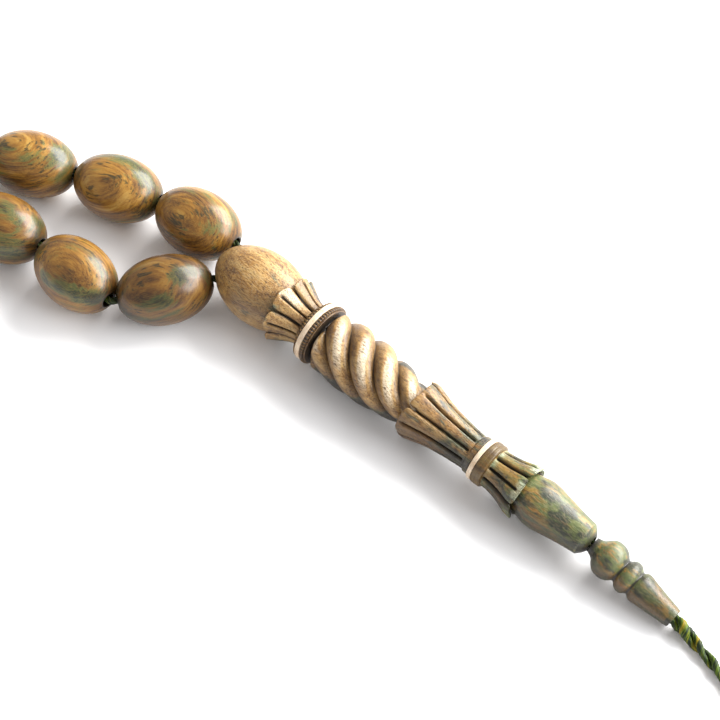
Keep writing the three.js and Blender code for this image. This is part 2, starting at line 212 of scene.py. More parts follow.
def tube(P, radius, sides, ripple=None):
    """Vertices and faces of a closed tube along P (local mm). radius is a number or one per point.
    ripple(s index, angle) multiplies the radius."""
    T, N, B = frames(P)
    n = len(P)
    a = np.linspace(0, 2 * math.pi, sides, endpoint=False)
    r = np.broadcast_to(np.asarray(radius, float), (n,))[:, None] * np.ones((1, sides))
    if ripple is not None:
        r = r * ripple(np.arange(n)[:, None], a[None, :])
    V = P[:, None, :] + r[..., None] * (np.cos(a)[None, :, None] * N[:, None] + np.sin(a)[None, :, None] * B[:, None])
    flat = V.reshape(-1, 3)
    faces = grid_faces(n, sides)
    flat = np.concatenate([flat, P[:1], P[-1:]])
    c0, c1 = len(flat) - 2, len(flat) - 1
    j = np.arange(sides)
    k = (j + 1) % sides
    caps = np.concatenate([
        np.stack([np.full(sides, c0), k, j], -1),
        np.stack([np.full(sides, c1), (n - 1) * sides + j, (n - 1) * sides + k], -1)])
    return flat, faces, caps


def joined(name, parts, attrs=None):
    """One object from several (verts, quads, tris) parts in local mm."""
    V, Q, T, off = [], [], [], 0
    for v, q, t in parts:
        V.append(v)
        Q.append(np.asarray(q) + off)
        if len(t):
            T.append(np.asarray(t) + off)
        off += len(v)
    V = np.concatenate(V)
    groups = [np.concatenate(Q)] + ([np.concatenate(T)] if T else [])
    return new_object(name, row(V), groups), V


# ------------------------------------------------------------ fixed geometry
BEAD_LENGTH, BEAD_RADIUS, BEAD_SEMI, BORE = 10.9, 4.0, 5.635, 0.78
END_GAP, SEPARATOR_LENGTH, CORD_HEIGHT = 0.3, 4.5, 4.0
FIRST_STRAND = [[-21.20, 2.65], [-32.40, 1.16], [-42.90, -2.61], [-53.25, -7.39]]
UPPER_LOOP = [[-64.58, -9.35], [-76.07, -8.73], [-87.24, -6.03], [-97.95, -1.83],
              [-108.23, 3.32], [-118.30, 8.88], [-128.41, 14.36], [-138.81, 19.26], [-143.63, 20.93],
              [-154.94, 23.00], [-166.44, 22.77], [-177.54, 19.75], [-187.34, 13.73], [-194.78, 4.97],
              [-198.98, -5.74], [-199.45, -17.23], [-196.16, -28.24], [-189.45, -37.59],
              [-180.07, -44.24], [-169.04, -47.47]]
LOWER_LOOP = [[-123.50, -45.34], [-112.22, -43.14], [-101.31, -39.50], [-90.80, -34.83],
              [-80.57, -29.58], [-70.38, -24.24], [-60.00, -19.30], [-49.23, -15.26]]
LAST_STRAND = [[-38.05, -12.58], [-26.10, -12.64], [-19.76, -2.51]]
TAIL_ROUTE = [[43.55, -0.43, 1.22], [44.7, -0.52, 0.88], [46.2, -0.80, 0.60],
              [48.0, -1.20, 0.55], [50.0, -1.75, 0.55], [53.0, -2.65, 0.55], [57.0, -3.95, 0.55],
              [62.0, -5.45, 0.55], [67.0, -6.60, 0.55], [72.0, -7.25, 0.55], [77.0, -7.35, 0.55],
              [82.0, -6.95, 0.55], [87.0, -6.25, 0.55], [92.0, -5.55, 0.60], [96.0, -5.20, 0.80],
              [99.5, -5.02, 1.20], [102.2, -4.95, 1.55]]
TASSEL_X, TASSEL_Y, TASSEL_YAW = 102.5, -4.95, math.radians(1.5)


def rot_y(a):
    return np.array([[math.cos(a), 0, math.sin(a)], [0, 1, 0], [-math.sin(a), 0, math.cos(a)]])


def rot_z(a):
    return np.array([[math.cos(a), -math.sin(a), 0], [math.sin(a), math.cos(a), 0], [0, 0, 1]])


def rot_x(a):
    return np.array([[1, 0, 0], [0, math.cos(a), -math.sin(a)], [0, math.sin(a), math.cos(a)]])


IMAME_R, IMAME_T = rot_y(0.0298), np.array([0, 0, 3.868])
NECK = IMAME_R @ np.array([32.5, 0, 0]) + IMAME_T
FINIAL_R = rot_z(math.radians(-2.3)) @ rot_y(math.radians(8.4))


def on_imame(p):
    return np.asarray(p, float) @ IMAME_R.T + IMAME_T


def on_finial(p):
    return np.asarray(p, float) @ FINIAL_R.T + NECK


# ------------------------------------------------------------------ materials
def lin(*rgb):
    """sRGB bytes to a linear colour."""
    c = np.array(rgb, float) / 255
    c = np.where(c <= 0.04045, c / 12.92, ((c + 0.055) / 1.055) ** 2.4)
    return (float(c[0]), float(c[1]), float(c[2]), 1.0)


class Mat:
    """A small wrapper that keeps a node tree readable."""

    def __init__(self, name):
        self.m = bpy.data.materials.new(name)
        self.m.use_nodes = True
        self.nt = self.m.node_tree
        self.nt.nodes.clear()
        self.out = self.nt.nodes.new("ShaderNodeOutputMaterial")
        self.p = self.nt.nodes.new("ShaderNodeBsdfPrincipled")
        self.nt.links.new(self.p.outputs[0], self.out.inputs[0])

    def put(self, sock, v):
        if isinstance(v, bpy.types.NodeSocket):
            self.nt.links.new(v, sock)
        elif v is not None:
            sock.default_value = v

    def attr(self, name, out="Fac"):
        n = self.nt.nodes.new("ShaderNodeAttribute")
        n.attribute_name = name
        return n.outputs[out]

    def vec(self, v, scale=(1, 1, 1), shift=(0, 0, 0)):
        n = self.nt.nodes.new("ShaderNodeVectorMath")
        n.operation = "MULTIPLY_ADD"
        self.put(n.inputs[0], v)
        n.inputs[1].default_value = scale
        n.inputs[2].default_value = shift
        return n.outputs[0]

    def vadd(self, a, b):
        n = self.nt.nodes.new("ShaderNodeVectorMath")
        n.operation = "ADD"
        self.put(n.inputs[0], a)
        self.put(n.inputs[1], b)
        return n.outputs[0]

    def noise(self, v, detail=3.0, rough=0.55, out="Fac", distortion=0.0):
        n = self.nt.nodes.new("ShaderNodeTexNoise")
        self.put(n.inputs["Vector"], v)
        n.inputs["Scale"].default_value = 1.0
        n.inputs["Detail"].default_value = detail
        n.inputs["Roughness"].default_value = rough
        n.inputs["Distortion"].default_value = distortion
        return n.outputs[out]

    def math(self, op, a, b=None, c=None, clamp=False):
        n = self.nt.nodes.new("ShaderNodeMath")
        n.operation = op
        n.use_clamp = clamp
        self.put(n.inputs[0], a)
        if b is not None:
            self.put(n.inputs[1], b)
        if c is not None:
            self.put(n.inputs[2], c)
        return n.outputs[0]

    def step(self, v, a, b, lo=0.0, hi=1.0):
        n = self.nt.nodes.new("ShaderNodeMapRange")
        n.interpolation_type = "SMOOTHSTEP"
        self.put(n.inputs["Value"], v)
        n.inputs["From Min"].default_value = a
        n.inputs["From Max"].default_value = b
        n.inputs["To Min"].default_value = lo
        n.inputs["To Max"].default_value = hi
        return n.outputs[0]

    def ramp(self, v, stops):
        n = self.nt.nodes.new("ShaderNodeValToRGB")
        self.put(n.inputs[0], v)
        e = n.color_ramp.elements
        while len(e) > 1:
            e.remove(e[-1])
        e[0].position, e[0].color = stops[0]
        for pos, col in stops[1:]:
            k = e.new(pos)
            k.color = col
        return n.outputs[0]

    def mix(self, f, a, b, mode="MIX"):
        n = self.nt.nodes.new("ShaderNodeMix")
        n.data_type = "RGBA"
        n.blend_type = mode
        self.put(n.inputs[0], f)
        self.put(n.inputs[6], a)
        self.put(n.inputs[7], b)
        return n.outputs[2]

    def bump(self, h, distance, strength=1.0, normal=None):
        n = self.nt.nodes.new("ShaderNodeBump")
        n.inputs["Strength"].default_value = strength
        n.inputs["Distance"].default_value = distance
        self.put(n.inputs["Height"], h)
        if normal is not None:
            self.put(n.inputs["Normal"], normal)
        return n.outputs[0]

    def shaded(self, c, by=(0.30, 0.26, 0.21, 1.0)):
        """Darker where the shade attribute is high."""
        return self.mix(self.step(self.attr("shade"), 0.0, 1.0), c, self.mix(1.0, c, by, "MULTIPLY"))

    def set(self, **kw):
        for k, v in kw.items():
            self.put(self.p.inputs[k.replace("_", " ")], v)
        return self.m


def bead_wood():
    m = Mat("bead_wood")
    g = m.attr("grain", "Vector")
    warp = m.vec(m.noise(m.vec(g, (0.16, 0.26, 0.26)), 2.0, 0.5, "Color"), (0.0, 0.9, 1.15), (0.0, -0.45, -0.575))
    w = m.vadd(g, warp)
    broad = m.noise(m.vec(w, (0.09, 0.22, 1.25)), 4.0, 0.55)
    fine = m.noise(m.vec(w, (0.20, 0.8, 5.6), (7, 3, 1)), 4.0, 0.6)
    patch = m.noise(m.vec(w, (0.16, 0.30, 0.80), (31, 5, 9)), 3.0, 0.55)
    fibre = m.noise(m.vec(w, (1.0, 10.0, 14.0)), 3.0, 0.6)
    stroke = m.noise(m.vec(w, (0.42, 1.5, 5.2), (3, 17, 23)), 3.0, 0.55)
    clump = m.noise(m.vec(w, (0.22, 0.36, 0.50), (19, 2, 41)), 2.0, 0.5)
    fleck = m.noise(m.vec(w, (1.5, 7.0, 9.0), (3, 11, 5)), 2.0, 0.5)
    tone = m.math("ADD", m.math("MULTIPLY", broad, 0.58), m.math("MULTIPLY", fine, 0.42))
    base = m.ramp(tone, [(0.36, lin(58, 36, 15)), (0.43, lin(92, 59, 22)), (0.50, lin(126, 86, 31)),
                         (0.57, lin(152, 110, 44)), (0.66, lin(174, 138, 70))])
    spot = m.math("ADD", m.attr("tint"), m.math("MULTIPLY", m.math("SUBTRACT", patch, 0.5), 2.6))
    green = m.math("ADD", spot, m.math("MULTIPLY", m.math("SUBTRACT", fine, 0.5), 1.6))
    c = m.mix(m.step(green, 0.14, 0.56, 0.0, 0.85), base, lin(74, 88, 48))
    c = m.mix(m.step(green, 0.52, 0.90, 0.0, 0.88), c, lin(22, 42, 32))
    dark = m.math("ADD", stroke, m.math("MULTIPLY", m.math("SUBTRACT", clump, 0.5), 0.55))
    c = m.mix(m.step(dark, 0.565, 0.655, 0.0, 0.82), c, lin(34, 38, 24))
    c = m.mix(m.step(fleck, 0.60, 0.72, 0.0, 0.45), c, lin(52, 34, 19))
    c = m.mix(m.step(fibre, 0.42, 0.68, 0.0, 0.22), c, lin(178, 140, 66))
    # Painted shade from the shade mark, with each bead's own tone.
    c = m.shaded(c)
    # Painted shade, with some dirt, in the bore and towards the bead ends, from the recess mark.
    c = m.mix(m.math("MULTIPLY", m.attr("recess_dirt_and_shade"), 0.93), c, lin(16, 12, 8))
    rough = m.step(fibre, 0.3, 0.7, 0.38, 0.50)
    h = m.math("SUBTRACT", m.math("MULTIPLY", fibre, 0.6), m.step(fleck, 0.60, 0.74))
    return m.set(Base_Color=c, Roughness=rough, Normal=m.bump(h, 0.00003, 0.45),
                 Coat_Weight=0.50, Coat_Roughness=0.23, IOR=1.5, Specular_IOR_Level=0.25)


def carved_wood(name, light, mid, deep, streak, green_lo, green_hi, rough_lo, rough_hi, pore=1.0, coat=0.0,
                wear_and_highlight=lin(222, 208, 184), fine=1.0):
    """Wood of the carved and turned pieces. Attributes: grain (along x), a recess mark (painted shade, with some dirt,
    in carved recesses), tint (green), shade (painted shade where positive, with some real stains and tone; a painted
    highlight mixed with wear where negative)."""
    m = Mat(name)
    g = m.attr("grain", "Vector")
    warp = m.vec(m.noise(m.vec(g, (0.12, 0.35, 0.35)), 2.0, 0.5, "Color"), (0.0, 1.2, 1.2), (0.0, -0.6, -0.6))
    w = m.vadd(g, warp)
    broad = m.noise(m.vec(w, (0.16, 0.75, 0.75)), 4.0, 0.55)
    streaks = m.noise(m.vec(w, (0.28, 2.4, 2.4), (5, 1, 8)), 4.0, 0.6)
    fibre = m.noise(m.vec(w, (1.5, 12.0, 12.0)), 3.0, 0.62)
    pores = m.noise(m.vec(w, (1.7, 8.5, 8.5), (2, 9, 4)), 1.5, 0.5)
    cloud = m.noise(m.vec(w, (0.26, 0.66, 0.66), (13, 2, 6)), 4.0, 0.58)
    c = m.ramp(m.math("ADD", m.math("MULTIPLY", broad, 0.5), m.math("MULTIPLY", streaks, 0.5)),
               [(0.36, deep), (0.46, mid), (0.56, light), (0.68, light)])
    c = m.mix(m.step(streaks, 0.55, 0.66, 0.0, 0.8), c, streak)
    tint = m.math("ADD", m.attr("tint"), m.math("MULTIPLY", m.math("SUBTRACT", cloud, 0.5), 2.2))
    tint2 = m.math("ADD", tint, m.math("MULTIPLY", m.math("SUBTRACT", streaks, 0.5), -1.0))
    c = m.mix(m.step(tint2, 0.38, 0.72, 0.0, 0.92), c, green_hi)
    c = m.mix(m.step(tint2, 0.78, 1.25, 0.0, 0.85), c, green_lo)
    blot = m.noise(m.vec(w, (0.30, 0.62, 0.62), (3, 17, 9)), 3.0, 0.55)
    c = m.mix(m.math("MULTIPLY", m.step(blot, 0.50, 0.60, 0.0, 0.85), m.step(tint, 0.30, 0.62)), c, green_lo)
    # Painted highlight, mixed with wear: where shade is negative the wood is paled towards the highlight colour.
    c = m.mix(m.math("MULTIPLY", m.step(m.attr("shade"), 0.0, -1.0, 0.0, 0.95), m.step(fibre, 0.38, 0.56, 0.25, 1.0)), c, wear_and_highlight)
    c = m.mix(m.step(pores, 0.585, 0.68, 0.0, 0.62 * pore), c, lin(60, 40, 25))
    c = m.mix(m.step(fibre, 0.46, 0.66, 0.0, 0.36 * fine), c, lin(196, 172, 132))
    c = m.mix(m.step(fibre, 0.49, 0.36, 0.0, 0.66 * fine), c, lin(60, 40, 22))
    # Painted shade, with some real stains and tone, where shade is positive.
    c = m.shaded(c)
    # Painted shade, with some dirt, in the carved recesses, from the recess mark.
    c = m.mix(m.math("MULTIPLY", m.step(m.attr("recess_dirt_and_shade"), 0.04, 0.75), 0.95), c, lin(18, 14, 9))
    rough = m.step(fibre, 0.3, 0.7, rough_lo, rough_hi)
    h = m.math("SUBTRACT", m.math("MULTIPLY", fibre, 0.8), m.math("MULTIPLY", m.step(pores, 0.57, 0.70), 1.1))
    return m.set(Base_Color=c, Roughness=rough, Normal=m.bump(h, 0.00006, 0.8 * fine),
                 Coat_Weight=coat, Coat_Roughness=0.30, IOR=1.5, Specular_IOR_Level=0.38)


def bone_mat():
    m = Mat("bone")
    g = m.attr("grain", "Vector")
    cloud = m.noise(m.vec(g, (1.1, 1.1, 1.1)), 4.0, 0.6)
    speck = m.noise(m.vec(g, (9.0, 6.5, 6.5)), 2.0, 0.5)
    line = m.noise(m.vec(g, (14.0, 1.2, 1.2)), 2.0, 0.5)
    c = m.ramp(cloud, [(0.35, lin(196, 170, 140)), (0.6, lin(224, 204, 178))])
    c = m.mix(m.step(speck, 0.62, 0.72, 0.0, 0.6), c, lin(122, 94, 70))
    c = m.mix(m.step(line, 0.56, 0.7, 0.0, 0.25), c, lin(188, 158, 128))
    # Painted shade, with some dirt, towards the ring's faces and bevels, from the recess mark.
    c = m.mix(m.math("MULTIPLY", m.attr("recess_dirt_and_shade"), 0.8), c, lin(98, 74, 50))
    return m.set(Base_Color=c, Roughness=m.step(cloud, 0.3, 0.7, 0.38, 0.52),
                 Normal=m.bump(m.math("SUBTRACT", 0.0, m.step(speck, 0.6, 0.72)), 0.00003, 0.6),
                 Subsurface_Weight=0.12, Subsurface_Radius=(0.002, 0.0012, 0.0008), IOR=1.54)


def silk(name, dark, mid, lightc, gold, gold_at=0.66):
    """Spun silk: colour runs with the filaments; grain is (along, round, ply) in mm."""
    m = Mat(name)
    g = m.attr("grain", "Vector")
    fil = m.noise(m.vec(g, (0.5, 4.2, 1.0)), 3.0, 0.6)
    slow = m.noise(m.vec(g, (0.33, 0.55, 1.0), (4, 2, 7)), 3.0, 0.55)
    hair = m.noise(m.vec(g, (1.6, 11.0, 1.0), (1, 5, 3)), 2.0, 0.6)
    v = m.math("ADD", m.math("MULTIPLY", fil, 0.5), m.math("MULTIPLY", slow, 0.5))
    c = m.ramp(v, [(0.36, dark), (0.48, mid), (0.58, lightc), (0.72, lightc)])
    c = m.mix(m.step(slow, gold_at - 0.06, gold_at + 0.04, 0.0, 0.85), c, gold)
    c = m.mix(m.step(hair, 0.46, 0.32, 0.0, 0.6), c, lin(14, 22, 8))
    # Painted shade from the shade mark, for the cords that lie in shadow.
    c = m.shaded(c, (0.16, 0.22, 0.22, 1.0))
    return m.set(Base_Color=c, Roughness=m.step(hair, 0.3, 0.7, 0.42, 0.62),
                 Normal=m.bump(m.math("ADD", m.math("MULTIPLY", hair, 0.6), m.math("MULTIPLY", fil, 0.4)), 0.00004, 0.7),
                 Specular_IOR_Level=0.25, Sheen_Weight=0.06, Sheen_Roughness=0.4, Sheen_Tint=(0.6, 0.75, 0.3, 1.0), IOR=1.5)


BEAD_WOOD = bead_wood()
PALE_WOOD = carved_wood("pale_wood", lin(178, 144, 88), lin(150, 108, 50), lin(96, 63, 28), lin(184, 134, 62),
                        lin(26, 38, 38), lin(82, 98, 74), 0.40, 0.58, coat=0.35)
OLIVE_WOOD = carved_wood("olive_wood", lin(142, 118, 56), lin(116, 88, 38), lin(72, 54, 25), lin(152, 106, 44),
                         lin(26, 38, 36), lin(82, 98, 56), 0.42, 0.56, pore=0.5, coat=0.35,
                         wear_and_highlight=lin(184, 194, 166), fine=0.5)
BONE = bone_mat()
SILK = silk("silk_cord", lin(10, 20, 6), lin(26, 44, 9), lin(84, 106, 12), lin(138, 118, 20), 0.60)
TASSEL_SILK = silk("silk_tassel", lin(28, 46, 14), lin(50, 74, 22), lin(86, 112, 34), lin(120, 130, 40), 0.72)


# --------------------------------------------------------------------- cords
def rounded(P, window, step):
    """A polyline with its corners eased over about the window's length."""
    Q, _ = even(np.asarray(P, float), step)
    k = max(1, int(round(window / step / 2)))
    pad = np.concatenate([Q[:1].repeat(k, 0), Q, Q[-1:].repeat(k, 0)])
    ker = np.hanning(2 * k + 3)[1:-1]
    ker /= ker.sum()
    S = np.stack([np.convolve(pad[:, a], ker, "valid") for a in range(3)], -1)
    S[0], S[-1] = Q[0], Q[-1]
    return S


def plied(P, lobes, ply_r, offset, sides=14, strands=7, phase=0.0, ends=2, wobble=0.0):
    """Plies wound round a path. lobes is the turning angle at each point. Returns parts and grain."""
    T, N, B = frames(P)
    n = len(P)
    d = np.concatenate([[0], np.cumsum(np.linalg.norm(np.diff(P, axis=0), axis=1))])
    ply_r = np.broadcast_to(np.asarray(ply_r, float), (n,))
    offset = np.broadcast_to(np.asarray(offset, float), (n,))
    parts, grains = [], []
    for k in range(ends):
        a = lobes + phase + 2 * math.pi * k / ends
        C = P + offset[:, None] * (np.cos(a)[:, None] * N + np.sin(a)[:, None] * B)
        if wobble:
            C = C + wobble * np.stack([np.sin(d * 2.1 + k), np.cos(d * 1.7 + 2 * k), np.sin(d * 1.3 + 4 * k)], -1) * 0.5
        spin = -2.2 * lobes

        def ripple(i, ang, spin=spin):
            return 1 + 0.075 * np.cos(strands * (ang + spin[i]))
        v, q, t = tube(C, ply_r, sides, ripple)
        parts.append((v, q, t))
        ang = np.linspace(0, 2 * math.pi, sides, endpoint=False)
        along = np.repeat(d, sides) + 40.0 * k
        roundv = (np.tile(ang, n) + np.repeat(spin, sides))
        cyc = np.stack([along, 0.9 * np.cos(roundv), 0.9 * np.sin(roundv)], -1)
        grains.append(np.concatenate([cyc, cyc[:1], cyc[-1:]]))
    return parts, np.concatenate(grains)


def silk_piece(name, parts, grain, mat, shade=0.0):
    ob, V = joined(name, parts)
    set_vector(ob, "grain", grain)
    set_float(ob, "shade", np.full(len(V), shade))
    ob.data.materials.append(mat)
    return ob


pieces = {}
tail_path = even(smooth_curve(np.concatenate([[on_finial([9.6, 0, 0])], [on_finial([10.9, 0, 0])], TAIL_ROUTE[1:], [[103.25, -4.92, 1.82]]]), 600), 0.11)[0]
tail_d = np.concatenate([[0], np.cumsum(np.linalg.norm(np.diff(tail_path, axis=0), axis=1))])
# Lobes are longest by the finial, where the cord is freshly pulled through.
lobe_len = 2.75 - 0.45 * sstep(2.0, 6.0, tail_d) - 0.15 * np.sin(tail_d * 0.9) * sstep(3, 8, tail_d)
tail_turn = np.concatenate([[0], np.cumsum(np.diff(tail_d) * math.pi / lobe_len[:-1])])
fat = 1.0 + 0.22 * (1 - sstep(2.5, 6.0, tail_d)) + 0.34 * np.exp(-((tail_d - 2.75) / 0.75) ** 2)
loose = sstep(1.3, 2.0, tail_d) * (1 - sstep(tail_d[-1] - 3.2, tail_d[-1] - 2.2, tail_d))    # open twist clear of the bores
swell = 0.5 + 0.5 * np.cos(2 * tail_turn + 0.9)          # each lobe bulges and necks in
parts, grain = plied(tail_path, tail_turn, 0.285 * fat * (1 + (0.10 + 0.14 * loose) * swell),
                     (0.19 + 0.085 * loose) * fat * (1 + 0.30 * swell), sides=14,
                     strands=6, phase=0.6)
tail = silk_piece("tail_cord_twisted", parts, grain, SILK)
pieces["tail"] = tail


def strung_order():
    """Each strung piece as (name, kind, centre, way) round the loop."""
    up = [np.array([x, y, CORD_HEIGHT]) for x, y in FIRST_STRAND + UPPER_LOOP]
    low = [np.array([x, y, CORD_HEIGHT]) for x, y in LOWER_LOOP + LAST_STRAND]
    out, count, sep = [], 0, False
    for a, b in zip(up[:-1], up[1:]):
        way = (b - a) / np.linalg.norm(b - a)
        if count == 11 and not sep:
            out.append(("separator_1", "separator", (a + b) / 2, way))
            sep = True
        else:
            count += 1
            out.append(("bead_%02d" % count, "bead", (a + b) / 2, way))
    start, end = up[-1], low[0]
    way = (end - start) / np.linalg.norm(end - start)
    after = end - way * (BEAD_LENGTH + 2 * END_GAP)
    before = after - way * (SEPARATOR_LENGTH + 2 * END_GAP)
    out.append(("separator_2", "separator", (before + after) / 2, way))
    out.append(("bead_23", "bead", (after + end) / 2, way))
    count = 23
    for i, (a, b) in enumerate(zip(low[:-1], low[1:])):
        count += 1
        way = (b - a) / np.linalg.norm(b - a)
        out.append(("bead_%02d" % count, "bead", (a + b) / 2, way))
    # The pieces' own places along the cord come from the frame.
    placed = []
    for name, kind, centre, way in out:
        lo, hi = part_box(name)
        placed.append((name, kind, (np.array(lo) + np.array(hi)) / 2 / MM - SHIFT, way))
    return placed, up, low


STRUNG, UP, LOW = strung_order()
upper_mouth, lower_mouth = UP[0] + [0, 0, 0.12], LOW[-1] + [0, 0, 0.12]
string_pts = [on_imame([-14.4, 0.62, 0]), upper_mouth] + UP[1:] + LOW[:-1] + [lower_mouth, on_imame([-14.4, -0.62, 0])]
string_path = rounded(string_pts, 1.6, 0.30)
sd = np.concatenate([[0], np.cumsum(np.linalg.norm(np.diff(string_path, axis=0), axis=1))])
parts, grain = plied(string_path, sd * 2 * math.pi / 3.4, 0.235, 0.205, sides=9, strands=3, ends=3)
# Painted shade: the stringing cord is darkened for where it shows in the shadowed gaps between beads.
string = silk_piece("stringing_cord_plied", parts, grain, SILK, 0.75)
core_path = even(smooth_curve([on_imame([-12.9, 0, 0]), on_imame([-6, 0, 0]), on_imame([2, 0, 0]), on_imame([10, 0, 0]),
                               on_imame([18, 0, 0]), on_imame([26, 0, 0]), on_imame([31.6, 0, 0]), on_finial([1.0, 0, 0]),
                               on_finial([6, 0, 0]), on_finial([9.5, 0, 0])], 200), 0.25)[0]
cd = np.concatenate([[0], np.cumsum(np.linalg.norm(np.diff(core_path, axis=0), axis=1))])
parts, grain = plied(core_path, cd * 2 * math.pi / 4.0, 0.235, 0.21, sides=9, strands=3)
# Painted shade: the inner cord is darkened as it lies in the bores.
core = silk_piece("imame_core_twisted", parts, grain, SILK, 0.8)


# --------------------------------------------------------------------- tassel
TASSEL_R = rot_z(TASSEL_YAW)


def on_tassel(p, z):
    return np.asarray(p, float) @ TASSEL_R.T + np.array([TASSEL_X, TASSEL_Y, z])


def overhand_knot():
    """A tight overhand knot of the same cord."""
    t = np.linspace(0, 2 * math.pi, 261)[:-1]
    x = (np.sin(t) + 2 * np.sin(2 * t)) / 3
    y = (np.cos(t) - 2 * np.cos(2 * t)) / 3
    z = -np.sin(3 * t)
    K = np.stack([1.75 + 1.22 * x, 1.20 * y, 0.62 * z], -1)
    K = K @ rot_x(0.5).T
    K = np.concatenate([K, K[:1]])
    P = on_tassel(K, 1.8)
    P, _ = even(P, 0.11)
    turn = np.linspace(0, 2 * math.pi * 6, len(P))
    a, ga = plied(P, turn, 0.29, 0.20, sides=12, strands=5)
    Q = on_tassel(smooth_curve([[0.05, 0, -0.2], [1.0, 0.25, 0.0], [1.8, -0.2, 0.15], [2.7, 0.2, 0.1], [3.6, 0, 0.25]], 60), 1.8)
    Q, _ = even(Q, 0.11)
    b, gb = plied(Q, np.linspace(0, 8, len(Q)), 0.27, 0.22, sides=12, strands=5)
    return silk_piece("tassel_overhand_knot", a + b, np.concatenate([ga, gb]), SILK)


def tassel_head():
    """A thread wound closely round the top of the bundle, over a smooth filling."""
    prof = np.array([[3.8, 0.9], [4.1, 1.5], [4.6, 1.95], [5.4, 2.12], [6.6, 2.16], [7.6, 2.08], [8.4, 1.85], [8.9, 1.7]])
    turns, step = 20, 0.27
    n = turns * 40
    u = np.linspace(3.85, 3.85 + turns * 0.255, n)
    r = np.interp(u, prof[:, 0], prof[:, 1])
    a = np.linspace(0, 2 * math.pi * turns, n)
    H = np.stack([u, -r * np.sin(a), r * np.cos(a)], -1)
    v, q, t = tube(on_tassel(H, 2.35), 0.145, 8, lambda i, ang: 1 + 0.06 * np.cos(3 * (ang - i * 0.12)))
    X = smooth_curve([[3.8, 0.3], [3.9, 1.2], [4.6, 1.86], [5.6, 2.06], [7.4, 2.0], [8.6, 1.66], [8.98, 1.5], [8.98, 0.3]], 60)
    PHI = np.linspace(0, 2 * math.pi, 64, endpoint=False)
    P = np.stack([X[:, 0][:, None] * np.ones(64), -X[:, 1][:, None] * np.sin(PHI), X[:, 1][:, None] * np.cos(PHI)], -1).reshape(-1, 3)
    f = grid_faces(len(X), 64)[:, ::-1]
    P2 = np.concatenate([P, [[3.8, 0, 0]], [[8.98, 0, 0]]])
    j = np.arange(64)
    k = (j + 1) % 64
    caps = np.concatenate([np.stack([np.full(64, len(P)), j, k], -1),
                           np.stack([np.full(64, len(P) + 1), (len(X) - 1) * 64 + k, (len(X) - 1) * 64 + j], -1)])
    parts = [(v, q, t), (on_tassel(P2, 2.35), f, caps)]
    ga = np.stack([np.repeat(a * 2.0, 8), np.tile(np.linspace(0, 2, 8), n), np.zeros(8 * n)], -1)
    ga = np.concatenate([ga, ga[:1], ga[-1:]])
    return silk_piece("tassel_wound_head", parts, np.concatenate([ga, P2]), TASSEL_SILK)


def tassel_skirt():
    """Loose silk threads from the wound head, fanning a little where they lie."""
    threads = 190
    parts, grains = [], []
    gold = math.pi * (3 - math.sqrt(5))
    for i in range(threads):
        rho, th = math.sqrt((i + 0.5) / threads), i * gold + RNG.uniform(-0.2, 0.2)
        length = 41.9 - RNG.uniform(0, 1.6) - 0.8 * rho
        u = np.linspace(9.05, length, 34)
        k = np.clip((u - 9.3) / 30, 0, 1)
        base = np.interp(u, [9.0, 11.5, 16, 24, 34, 41, 42], [1.5, 1.9, 2.24, 2.55, 2.8, 2.9, 2.88])
        a1, a2 = RNG.uniform(0, 6.28, 2)
        sway = 0.16 * k
        yy = base * (1 + 0.45 * k) * rho * math.cos(th) + sway * np.sin(u * 0.32 + a1)
        zz = base * (1 - 0.28 * k) * rho * math.sin(th) + sway * 0.6 * np.sin(u * 0.27 + a2)
        zz = np.maximum(zz, -2.2)
        P = on_tassel(np.stack([u, yy, zz], -1), 2.4)
        r = 0.15 * np.where(u > length - 0.6, 0.8, 1.0)
        v, q, t = tube(P, r, 6)
        parts.append((v, q, t))
        g = np.stack([np.repeat(u, 6), np.tile(np.linspace(0, 1.2, 6), len(u)), np.full(6 * len(u), i * 1.7)], -1)
        grains.append(np.concatenate([g, g[:1], g[-1:]]))
    return silk_piece("tassel_threads", parts, np.concatenate(grains), TASSEL_SILK)


knot, wound, threads = overhand_knot(), tassel_head(), tassel_skirt()
for ob, node in ((knot, "tassel_knot"), (wound, "tassel_head"), (threads, "tassel_skirt")):
    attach(ob, "tail")
    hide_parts(node)
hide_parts("tail_cord")
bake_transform(tail)
route = row(tail_path[:: max(1, len(tail_path) // 60)])
if np.linalg.norm(route[-1] - row(tail_path[-1])) > 1e-6:
    route = np.concatenate([route, [row(tail_path[-1])]])
for ob, node in ((string, "stringing_cord"), (core, "imame_core_cord")):
    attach(ob, "imame")
    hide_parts(node)


# ---------------------------------------------------------------------- beads
VIEW = np.array([math.sin(AZ) * math.cos(EL), -math.cos(AZ) * math.cos(EL), math.sin(EL)])
IMG_RIGHT = np.array([math.cos(AZ), math.sin(AZ), 0.0])
IMG_UP = np.array([-math.sin(AZ) * math.sin(EL), math.cos(AZ) * math.sin(EL), math.cos(EL)])

